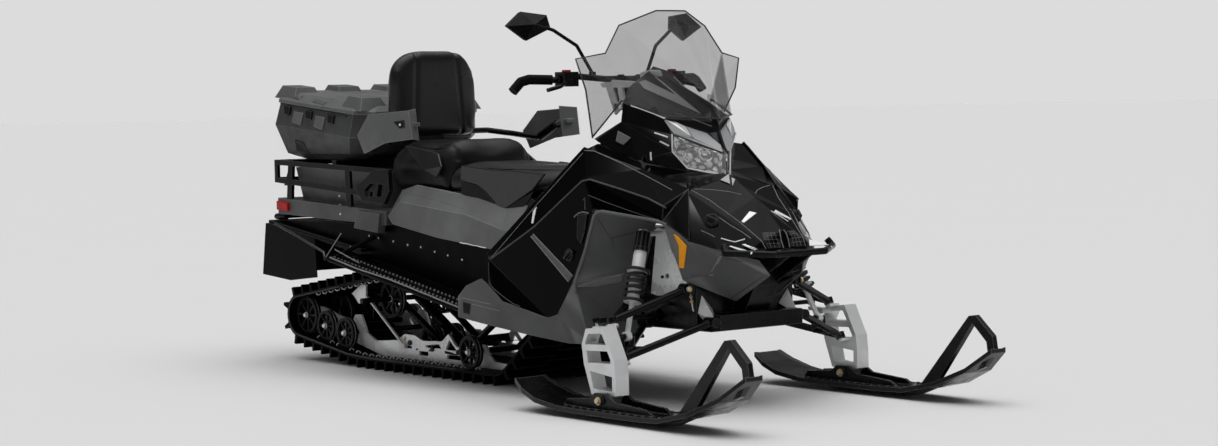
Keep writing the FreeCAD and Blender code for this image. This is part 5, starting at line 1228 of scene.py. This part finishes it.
# Painted shade: a black plate in a pocket of the box's side.
box_plates("box_pocket", (-1.31,), pocket, 0.005, black_plastic, 0.001)
pads = [plate_on("pad", nodes["cargo_box_lid"], outline, 0.003, "cargo_box_lid", charcoal, 0.001, 0.001)
        for outline in ([(296.5, 94.6), (303.4, 96.2), (299.4, 99.6), (293.6, 98.0)],
                        [(316.4, 98.4), (326.8, 102.2), (323.4, 105.4), (312.6, 101.8)])]
both_sides(join(pads, "lid_pads"))

# %% Seal under the lid
seal_points = [on_box(x, 0.006) for x in (-1.44, -1.36, -1.28, -1.2, -1.12, -1.04, -0.96)]
both_sides(bead("box_seal", seal_points, 0.0035, "cargo_box", black_plastic))

# %% [markdown]
# The passenger's hand guards are open at the root, where a black plate paints the shaded pocket that holds one bright
# bolt.

# %% Guards
guards = nodes["hand_guards"]
# Painted shade: a black plate in the open root of each guard.
both_sides(plate_on("guard_pockets", guards, [(393.4, 121.8), (404.4, 120.0), (405.0, 127.6), (400.1, 128.8)],
                    0.003, "hand_guards", black_plastic, 0.001))
bolts("guard_bolts", [spot(guards, 400.8, 124.8)], 0.005, 0.006, "hand_guards", plate_alloy, "silver_alloy")

# %% [markdown]
# ## Rear of the tunnel
#
# A thin rolled edge runs back from each running board to the rear bumper, with a step bracket where it
# starts. The rack's front post is fixed with bright bolts.

# %% Rolled edge and step
outwards = Vector((0, -1, 0))
rear_edge = bead("rear_edge", at_side([(325.5, 260), (323.5, 252), (300, 237.5), (275, 223.5)], 0.40), 0.005,
                 "running_boards", black_steel)
# The last pale bead, beside the rolled edge, is a painted highlight.
steps = [bead("step", at_side(line, 0.402), 0.0022, "running_boards", cover_grey) for line in (
    [(326, 257), (341, 233.5)], [(335, 249.5), (359, 263)],
    [(324.5, 258), (324, 252.5), (301, 238.5), (277, 225)])]
both_sides(join([rear_edge] + steps, "board_steps"))
bolts("rack_bolts", [(seen(u, v), outwards) for u, v in ((339.5, 196), (340, 205), (340.5, 214))], 0.0035,
      0.003, "rack_rails", plate_alloy, "silver_alloy")

# %% [markdown]
# ## Slide rails and track
#
# The rails are bright plates with lightening windows. Steel clips guide the belt along both edges of its
# windows; one clip is copied along the belt's inner face, which a line from inside the loop finds.

# %% Rail windows
windows = [
    [(427.2, 338.6), (432.0, 338.2), (439.8, 344.6), (431.0, 344.2)],
    [(445.6, 338.6), (455.6, 339.4), (454.6, 346.6), (447.6, 345.8)],
    [(404.6, 344.6), (412.0, 346.4), (411.8, 348.8), (404.8, 347.4)],
    [(444.8, 350.8), (457.8, 353.6), (457.6, 356.0), (445.0, 353.6)],
    [(416.2, 348.2), (418.2, 348.4), (418.0, 350.2), (416.0, 350.0)],
    [(429.2, 349.6), (431.2, 349.8), (431.0, 351.4), (429.0, 351.2)],
]
# Painted shade: black plates where the rail's windows open.
openings = [plate_on("window", nodes["slide_rails"], outline, 0.0015, "slide_rails", black_plastic, 0.0004,
                     0.0004, "black_plastic") for outline in windows]
both_sides(join(openings, "rail_windows"))
bolts("rail_bolts", [(seen(u, v), outwards) for u, v in ((404.9, 338.2), (451.6, 333.6))], 0.006, 0.006,
      "slide_rails", gold_bolt, "silver_alloy")

# %% Belt clips
belt = nodes["track"]
clip_count, clip_start, clip_pace, clip_half = 24, -1.33, 0.047, 0.205
clips = []
for i in range(clip_count):
    for way, start in ((-1, 0.13), (1, 0.16)):
        place = meet(belt, (clip_start + i * clip_pace, -clip_half, start), (0, 0, way))
        if place is not None:
            clips.append(added("torus", major_radius=0.008, minor_radius=0.0022, major_segments=12,
                               minor_segments=6, location=place, rotation=(0.5, 1.2, 0)))
print("clips", len(clips))
both_sides(belongs(join(clips, "belt_clips"), "track", plate_alloy, "silver_alloy"))

# %% [markdown]
# A pale line along the belt's edge is a painted highlight. Rays from inside the loop find the edge: down to the
# lower run, round the rear wheel, and up to the upper run.

# %% Belt edge
edge_half = 0.2525
rear_wheel_x, rear_wheel_z = -1.405, 0.18
lower_run = (-0.32, -0.45, -0.6, -0.75, -0.9, -1.05, -1.2, -1.3, -1.4)
upper_run = (-1.4, -1.3, -1.2, -1.1)
rays = [((x, -edge_half, 0.10), (0, 0, -1)) for x in lower_run]
rays += [((rear_wheel_x, -edge_half, rear_wheel_z), (math.cos(math.radians(a)), 0, math.sin(math.radians(a))))
         for a in range(-105, -256, -15)]
rays += [((x, -edge_half, 0.20), (0, 0, 1)) for x in upper_run]
met = [meet(belt, origin, direction) for origin, direction in rays]
edge_line = [place + outwards * 0.0005 for place in met if place is not None]
# Painted highlight: a pale bead along the belt's edge.
belt_edge = moulded("worn_rubber", 0.07, 0.5, 0.6, 0, 0, specular=0.1)
both_sides(bead("belt_edges", edge_line, 0.0028, "track", belt_edge))

# %% [markdown]
# ## Raised edges of the body
#
# Thin pale lines along the panels' raised edges are painted highlights: each one is a fine pale bead that follows
# its panel, and dim beads draw lines that are lighter than the black panels and darker than the charcoal ones.
# The line is cut into short steps and every step is set on the panel, so the bead never floats. The lines of
# one panel are joined and mirrored to the far side.

# %% Fine beads that hug a panel


def trace(panel, line, lift=0.0):
    """Points on a panel along a picture line, 3 picture points apart; points off the panel are left out."""
    picks = [line[0]]
    for (u0, v0), (u1, v1) in zip(line, line[1:]):
        steps = max(1, int(math.hypot(u1 - u0, v1 - v0) / 3.0))
        picks += [(u0 + (u1 - u0) * i / steps, v0 + (v1 - v0) * i / steps) for i in range(1, steps + 1)]
    points = []
    for u, v in picks:
        try:
            points.append(spot(panel, u, v, lift)[0])
        except ValueError:
            print("off the panel", panel.name, round(u), round(v))
    return points


def edges_on(name, panel, node, finish, lines, radius=0.0013):
    """Fine raised edges on a panel and on its mirror image."""
    return both_sides(join([bead(name, trace(panel, line), radius, node, finish) for line in lines], name))


# Painted highlight: pale beads where edges catch the light.
edge_pale = moulded("edge_pale", 0.20, 0.3, 0.4, 0, 0, specular=0.3)
# Dim beads: lighter than the black panels, darker than the charcoal ones.
edge_dim = moulded("edge_dim", 0.05, 0.3, 0.4, 0, 0, specular=0.3)

# %% Side panel edges
# Painted highlights: pale beads on the ridges of the black side panel.
edges_on("side_ridges", side_right, "side_panel_right", edge_pale, [
    [(492, 257), (537, 204.5), (583, 153)],
    [(584, 150.5), (594, 151), (620, 162.5), (650, 178), (672, 190)],
])
edges_on("side_bands", side_right, "side_panel_right", edge_dim, [
    [(491, 259), (534, 227), (560, 202), (582, 181), (590, 179.5), (620, 189), (648, 198.5), (666, 208)],
], 0.0032)
edges_on("side_lines", side_right, "side_panel_right", edge_dim, [
    [(588, 195), (605, 202), (630, 211), (660, 221)],
    [(486.5, 262), (487, 275), (490.5, 286), (505, 298), (520, 308.5)],
], 0.0014)
# Painted highlight: a white sliver on the panel.
sliver = [(531.8, 223.5), (533.4, 223.5), (536.8, 207), (533.6, 211)]
both_sides(plate_on("side_slivers", side_right, sliver, 0.003, "side_panel_right", strip_white, 0.001))

# %% [markdown]
# The moulding behind the ski arch has two soft creases, with painted shade along them as dim beads, and a narrow pale
# ledge with a pale line along its foot paints its highlight.

# %% Arch wall creases
# Painted shade: dim beads, darker than the wall, along its creases.
edges_on("arch_creases", lower_right, "lower_panel_right", edge_dim, [
    [(596.7, 217.5), (610.8, 238.2), (613.9, 248.8)],
    [(610.8, 238.6), (630.3, 233.9), (637.3, 230.8)],
], 0.0014)
# Painted highlight: a pale bead and a pale ledge along the foot.
edges_on("arch_ledge_lines", lower_right, "lower_panel_right", edge_pale, [
    [(572.0, 284.0), (599.0, 278.4), (624.0, 273.8)],
], 0.0016)
ledge = [(573, 284.5), (599, 279), (622, 274.5), (621, 281.5), (597, 286.5), (576, 287.5)]
both_sides(plate_on("arch_ledges", lower_right, ledge, 0.003, "lower_panel_right", cover_grey, 0.001, 0.0012))

# %% [markdown]
# The hood's facets meet in raised lines, painted pale as highlights, with white glints painted on some of them. A
# spear of paler edges, also painted highlights, runs along the middle to the tip.

# %% Hood edges
# Painted highlights: pale beads where the hood's facets meet.
edges_on("hood_lines", hood_skin, "hood", edge_pale, [
    [(691, 190), (710, 200.5), (740, 222.5), (757, 237), (762, 241.5), (766, 249)],
    [(717, 216), (730, 225), (742, 232), (751, 238.5)],
    [(693, 189), (710, 189.6), (728, 191.5), (741, 194.5)],
    [(701, 230.5), (708, 233.5), (715, 237)],
])
# Painted highlights: white glints on the hood's edges.
edges_on("hood_glints", hood_skin, "hood", strip_white, [
    [(721, 238.3), (729, 240.6), (735, 242), (745, 239)],
], 0.0018)
# Painted highlight: a white glint on the near side only.
bead("hood_ridge_glint", trace(hood_skin, [(771, 211), (778, 215), (788, 221.5)]), 0.002, "hood", strip_white)
edges_on("hood_spear", hood_skin, "hood", edge_pale, [
    [(779.4, 230), (781, 240), (783.4, 248)],
], 0.0022)

# %% [markdown]
# The hood's tip has two air grilles of fine mesh. Each is a dark plate with crossing bars.

# %% Grilles
grille_outline = [(761.5, 232.5), (777.0, 232.0), (781.0, 247.5), (768.5, 248.5), (763.5, 240.0)]
grille = plate_on("hood_grille", hood_skin, grille_outline, 0.002, "hood", black_plastic, 0.001)
bars = [bead("grille_bar", trace(hood_skin, line, 0.002), 0.0008, "hood", charcoal) for line in (
    [(763, 236), (777.5, 235.5)], [(764, 240), (778.5, 239.5)], [(767, 244), (779.5, 243.5)],
    [(766, 233), (771, 247.5)], [(770, 233), (775, 247.5)], [(774, 233), (779, 247)])]
both_sides(join([grille] + bars, "hood_grilles"))

# %% [markdown]
# ## Nose
#
# The lower nose has a pale chamfer down its crease, a painted highlight, dim raised lines beside it, and short
# bright strips on the clamps of the bumper, their silver painted white as a highlight.

# %% Nose chamfer and clamps
# Painted highlight: a pale plate down the lit chamfer.
chamfer = [(719.2, 256.5), (722.2, 256.0), (712.6, 275.5), (708.8, 275.5)]
both_sides(plate_on("nose_chamfers", lower_right, chamfer, 0.002, "lower_panel_right", cover_grey, 0.0008))
edges_on("nose_lines", lower_right, "lower_panel_right", edge_dim, [
    [(710, 275.8), (700, 275.4), (690.6, 274.8)],
    [(721, 258), (726, 258.6), (742, 262)],
    [(767, 274), (748, 287), (727, 301)],
], 0.0014)
# Partly painted highlight: the silver clamps are white.
clamps = [
    [(742.0, 244.8), (745.0, 244.6), (757.2, 249.6), (755.0, 250.8)],
    [(729.0, 246.8), (731.0, 246.2), (752.6, 252.4), (751.0, 254.4)],
]
clamp_parts = [plate("clamp", [seen(u, v, 0.002) for u, v in outline], 0.003, "front_bumper", strip_white,
                     0.001) for outline in clamps]
both_sides(join(clamp_parts, "bumper_clamps"))

# %% [markdown]
# ## Foot wells
#
# A pocket in the rear of each lower panel takes the toe of a boot; a black plate paints the shade in it, and pale
# beads beside it paint highlights.

# %% Toe pockets
toe_outline = [(463.2, 301.5), (471.0, 303.8), (469.6, 314.4), (463.4, 312.8)]
# Painted shade: a black plate in the toe pocket.
both_sides(plate_on("toe_pockets", lower_right, toe_outline, 0.002, "lower_panel_right", black_plastic,
                    0.001))
# Painted highlights: pale beads beside the pocket.
edges_on("toe_lines", lower_right, "lower_panel_right", edge_pale, [
    [(471.5, 304), (486, 307.6), (500, 311)],
    [(461.5, 297.6), (475, 300.8), (490, 304)],
], 0.0012)

# %% [markdown]
# ## Side covers
#
# A white bead along each side cover's lip above the tunnel and a pale bead along the crease of its upper half paint
# their highlights.

# %% Cover lips
# Painted highlights on the lip and the crease.
edges_on("cover_lips", nodes["side_covers"], "side_covers", strip_white, [
    [(460, 243.0), (474, 246.6), (486, 249.8)],
], 0.0019)
edges_on("cover_creases", nodes["side_covers"], "side_covers", edge_pale, [
    [(404, 191), (420, 195.5), (446, 203), (476, 212)],
], 0.0014)

# %% [markdown]
# ## Instruments
#
# A white bead under the gauge hood's edge and a thin pale bead along its crease paint their highlights.

# %% Instrument hood
# Painted highlights under the gauge hood's edge and along its crease.
edges_on("cowl_lips", cowl_skin, "cowl", strip_white, [
    [(631.5, 105.5), (643, 109.5), (655, 114), (665, 118.3)],
], 0.0038)
edges_on("cowl_lines", cowl_skin, "cowl", edge_pale, [
    [(675, 113), (690, 118), (712, 126.4)],
], 0.0014)

# %% [markdown]
# The lamp brow is a bright moulding of three facets, laid over the cowl as thin plates; the middle facet is
# paler, a painted highlight. Two small silver facets below the near lamp, at the hood's edge and on the near side
# only, are painted highlights too.

# %% Lamp brow
brow_bright = moulded("brow_bright", 0.62, 0.25, 0.35, 0, 0, specular=0.4)
# The middle facet takes the paler finish: a painted highlight.
facets = [plate_on("facet", cowl_skin, outline, 0.002, "cowl", finish, lift) for finish, lift, outline in (
    (brow_silver, 0.003, [(664.5, 120.5), (672, 122), (684, 131.5), (692, 138.5), (674, 134.2),
                          (670.5, 130)]),
    (brow_bright, 0.004, [(672.5, 121.5), (684.5, 127), (688, 131.5), (692.3, 138.3)]),
    (brow_silver, 0.003, [(686.5, 128), (706, 134.3), (721.5, 147), (722.5, 151.5), (694, 139.2)]))]
both_sides(join(facets, "lamp_brows"))
# Painted highlights: two silver plates, on the near side only.
chins = [plate("chin", [seen(u, v, 0.003) for u, v in outline], 0.003, "hood", brow_silver, 0.001)
         for outline in ([(720.1, 180.6), (729.0, 174.6), (729.9, 184.6)],
                         [(731.2, 178.4), (735.0, 180.0), (732.2, 187.0)])]
join(chins, "lamp_chins")

# %% [markdown]
# ## Handlebar
#
# The bar stands on a cast alloy riser: plates on each side of the post, with a strut across them. A pale
# gauge pod stands in front of it. Every control block has a red stop switch on top.

# %% Riser frame
riser_half = 0.058
riser = [plate("cheek", at_side(outline, riser_half), 0.009, "handlebar", brow_bright, 0.002,
               "silver_alloy") for outline in (
    [(601, 83.5), (611, 79.6), (640, 81.6), (640, 86.5), (622, 88), (603, 87.4)],
    [(607, 88), (613.4, 87), (620.5, 110), (615.5, 115)],
    [(618, 87.5), (623, 87), (625.5, 100), (621, 106)],
    [(614, 104), (623, 100), (622.5, 108), (616, 115)],
)]
riser.append(bead("strut", at_side([(616.5, 112), (632, 88)], riser_half), 0.004, "handlebar", cast_alloy,
                  "silver_alloy"))
both_sides(join(riser, "bar_riser"))

# %% Gauge pod and switches
pod_outline = [(641.5, 72.5), (651, 69.8), (659.5, 70.2), (661.0, 76.5), (649.5, 79.8), (642, 78.5)]
plate("gauge_pod", at_side(pod_outline, 0.030), 0.022, "handlebar", brow_bright, 0.006, "silver_alloy")
for side, name in ((-1, "right"), (1, "left")):
    stop = added("cube", size=1, location=(0.352, side * 0.236, 1.1145), scale=(0.020, 0.026, 0.009))
    stop.name = "stop_switch_" + name
    modify(stop, "BEVEL", width=0.002, segments=2)
    belongs(stop, "handlebar", red_lens, "red_lens")

# %% [markdown]
# ## Seat flaps
#
# The driver's seat cover wraps down each side as a flap that ends in a point above the side cover, with a
# darker band under it. The passenger's seat has a smaller wing on each side.

# %% Flaps
flap_outline = [(462, 165), (490, 169), (520, 171), (546, 173.5), (533, 190), (503, 211), (486, 191),
                (478, 185), (461, 180)]
band_outline = [(461, 180), (479, 186), (487, 193), (503, 212), (534, 191), (528, 202), (512, 222),
                (501, 220), (482, 204), (462, 194)]
wing_outline = [(405, 145), (418, 148), (434, 152), (439, 154), (442, 167), (437, 178), (424, 171)]
seat_half, wing_lean = 0.2235, 0.042


def on_wing(u, v):
    """A point on the passenger's wing, whose upper part tips inwards with the cushion."""
    return at(u, v, 1, wing_lean * (1 - between(v, 147, 165)) - seat_half)


both_sides(plate("seat_flaps", at_side(flap_outline, seat_half), 0.010, "driver_seat", pad_vinyl, 0.004,
                 "seat_vinyl"))
both_sides(plate("seat_wings", [on_wing(u, v) for u, v in wing_outline], 0.010, "passenger_seat", pad_vinyl,
                 0.004, "seat_vinyl"))
both_sides(plate("seat_bands", at_side(band_outline, seat_half - 0.001), 0.006, "driver_seat", black_plastic,
                 0.002, "black_plastic"))

# %% [markdown]
# ## Ski suspension
#
# Bright bolts hold the arms to the bulkhead, whose side is a smooth casting. A black sway bar crosses under
# it. The alloy tower above has two bolts and a round hole, where a black disc paints the shade.

# %% Bulkhead side, bolts and sway bar
bulkhead = [(690, 292), (702, 296), (712, 309), (717, 322), (703, 320), (693, 311)]
both_sides(plate_on("bulkhead_sides", nodes["chassis"], bulkhead, 0.003, "chassis", plate_alloy, 0.002, 0.001,
                    "silver_alloy"))
arm_face = Vector((0.2, -0.98, 0.0)).normalized()
arm_bolts = [bolt(seen(u, v), arm_face, radius, depth) for u, v, radius, depth in (
    (689.4, 289.1, 0.0075, 0.008), (691.2, 297.0, 0.005, 0.006), (691.8, 301.5, 0.005, 0.006))]
both_sides(belongs(join(arm_bolts, "arm_bolts"), "chassis", gold_bolt, "silver_alloy"))
tower = nodes["shock_towers"]
bolts("tower_bolts", [spot(tower, u, v) for u, v in ((664.2, 286.5), (671.0, 286.5))], 0.0035, 0.003,
      "shock_towers", plate_alloy, "silver_alloy")
hole_u, hole_v, hole_radius = 662.5, 276.9, 1.7
hole = [(hole_u + hole_radius * math.cos(math.radians(a)), hole_v + hole_radius * math.sin(math.radians(a)))
        for a in range(0, 360, 45)]
# Painted shade: a black disc in the tower's round hole.
both_sides(plate_on("tower_holes", tower, hole, 0.0016, "shock_towers", black_plastic, 0.0004, 0.0002,
                    "black_plastic"))

# %% [markdown]
# The spring of each shock sits between two collars, with closer coils between them, and a black cap covers
# the shock's upper end. All of them are strung on the line from the shock's head to its foot.

# %% Spring collars, shock caps and sway bar
shock_head, shock_foot = right_side((0.822, 0.296, 0.573), (0.885, 0.424, 0.252))
shock_line = (shock_foot - shock_head).normalized()


def on_shock(along):
    """A point on the shock's line, so far from its head."""
    return shock_head + shock_line * along


rings = [(0.128, 0.037, 0.0052), (0.232, 0.033, 0.0052)]
rings += [(along, 0.029, 0.0042) for along in (0.1512, 0.1704, 0.1896, 0.2088)]
collars = [stand(added("torus", major_radius=wide, minor_radius=thick, major_segments=36, minor_segments=10),
                 on_shock(along), shock_line) for along, wide, thick in rings]
collars = join(collars, "spring_collars")
smooth(collars, 60)
both_sides(belongs(collars, "ski_springs", black_steel))
caps = [bead("shock_cap", [on_shock(start), on_shock(end)], radius, "ski_shocks", black_plastic,
             "black_plastic") for start, end, radius in ((-0.006, 0.050, 0.0245), (0.050, 0.062, 0.028))]
both_sides(join(caps, "shock_caps"))
sway = [at(u, v, 1, -half) for u, v, half in ((645, 313, 0.30), (660, 306, 0.25), (676, 301, 0.18))]
both_sides(bead("sway_bars", sway, 0.006, "chassis", black_steel))

# %% [markdown]
# ## Skis
#
# Each ski turns on a plated nut. Its upper rims carry rows of small ribs where the mould is stiffened. Every
# piece rides on its own ski, so it pitches with it.

# %% Ski trim
ski_stance, ski_pivot_x, ski_pivot_z = 0.532, 0.930, 0.061
ski_rib_count, ski_rib_start, ski_rib_pace, ski_rib_half = 13, 0.80, 0.038, 0.080


def ski_trim(side, name):
    """Rim ribs and pivot nuts of one ski; side is -1 for the right one."""
    node = "ski_" + name
    ski = nodes[node]
    middle = side * ski_stance
    ribs = []
    for i in range(ski_rib_count):
        narrowed = ski_rib_half * (1 - 0.10 * (i / (ski_rib_count - 1)))
        for half in (-narrowed, narrowed):
            place = under(ski, ski_rib_start + i * ski_rib_pace, middle + half)
            if place is not None:
                ribs.append(added("cone", vertices=6, radius1=0.008, radius2=0.0045, depth=0.010,
                                  location=place))
    belongs(join(ribs, "ski_ribs_" + name), node, ski_black)
    nuts = []
    for way in (-1, 1):
        face = meet(ski, (ski_pivot_x, middle + way * 0.3, ski_pivot_z), (0, -way, 0))
        nuts.append(bolt(face, Vector((0, way, 0)), 0.0100, 0.010))
    belongs(join(nuts, "ski_nuts_" + name), node, gold_bolt, "silver_alloy")


ski_trim(-1, "right")
ski_trim(1, "left")

# %% [markdown]
# ## Floor and sky
#
# The machine stands on a plain pale floor in a studio with one large soft light overhead. The studio is a
# sky that is pale at eye level, dim on its upper walls and bright above, so that upright black panels stay
# black and everything that faces up has a soft highlight. The floor is wide enough to meet the sky unseen.

# %% Floor
floor = added("grid", x_subdivisions=8, y_subdivisions=8, size=400.0, location=(0, 0, -0.001))
floor.name = "studio_floor"
ground = Recipe("studio_floor")
ground.set(Base_Color=ground.mix(ground.noise(0.6, 2.0), grey(0.705), grey(0.715)), Roughness=0.7,
           Specular_IOR_Level=0.15)
floor.data.materials.append(ground.material)
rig.stage(floor)

# %% Sky
world = bpy.data.worlds.new("studio")
bpy.context.scene.world = world
world.use_nodes = True
sky = world.node_tree
direction = sky.nodes.new("ShaderNodeTexCoord")
split = sky.nodes.new("ShaderNodeSeparateXYZ")
ramp = sky.nodes.new("ShaderNodeValToRGB")
ramp.color_ramp.interpolation = "EASE"
stops = [(0.0, 0.716), (0.055, 0.716), (0.14, 0.13), (0.60, 0.15), (0.80, 1.2), (0.93, 2.3), (1.0, 2.3)]
while len(ramp.color_ramp.elements) < len(stops):
    ramp.color_ramp.elements.new(0.5)
for element, (height, level) in zip(ramp.color_ramp.elements, stops):
    element.position = height
    element.color = grey(level)
sky.links.new(direction.outputs["Generated"], split.inputs[0])
sky.links.new(split.outputs["Z"], ramp.inputs[0])
sky.links.new(ramp.outputs[0], sky.nodes["Background"].inputs["Color"])

# %% Key light
sun = bpy.data.lights.new("soft_key", "SUN")
sun.energy = 0.25
sun.angle = math.radians(35)
linked("soft_key", sun).rotation_euler = Vector((0.5, 0.25, 1.0)).to_track_quat("Z", "Y").to_euler()

# %% Sizes and the end
size_rows = {"cad": [list(corner) for corner in cad_bounds], "visual": [list(corner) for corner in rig.bounds()]}
with open("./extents.json", "w") as out:
    json.dump(size_rows, out)
print("visual box", size_rows["visual"])
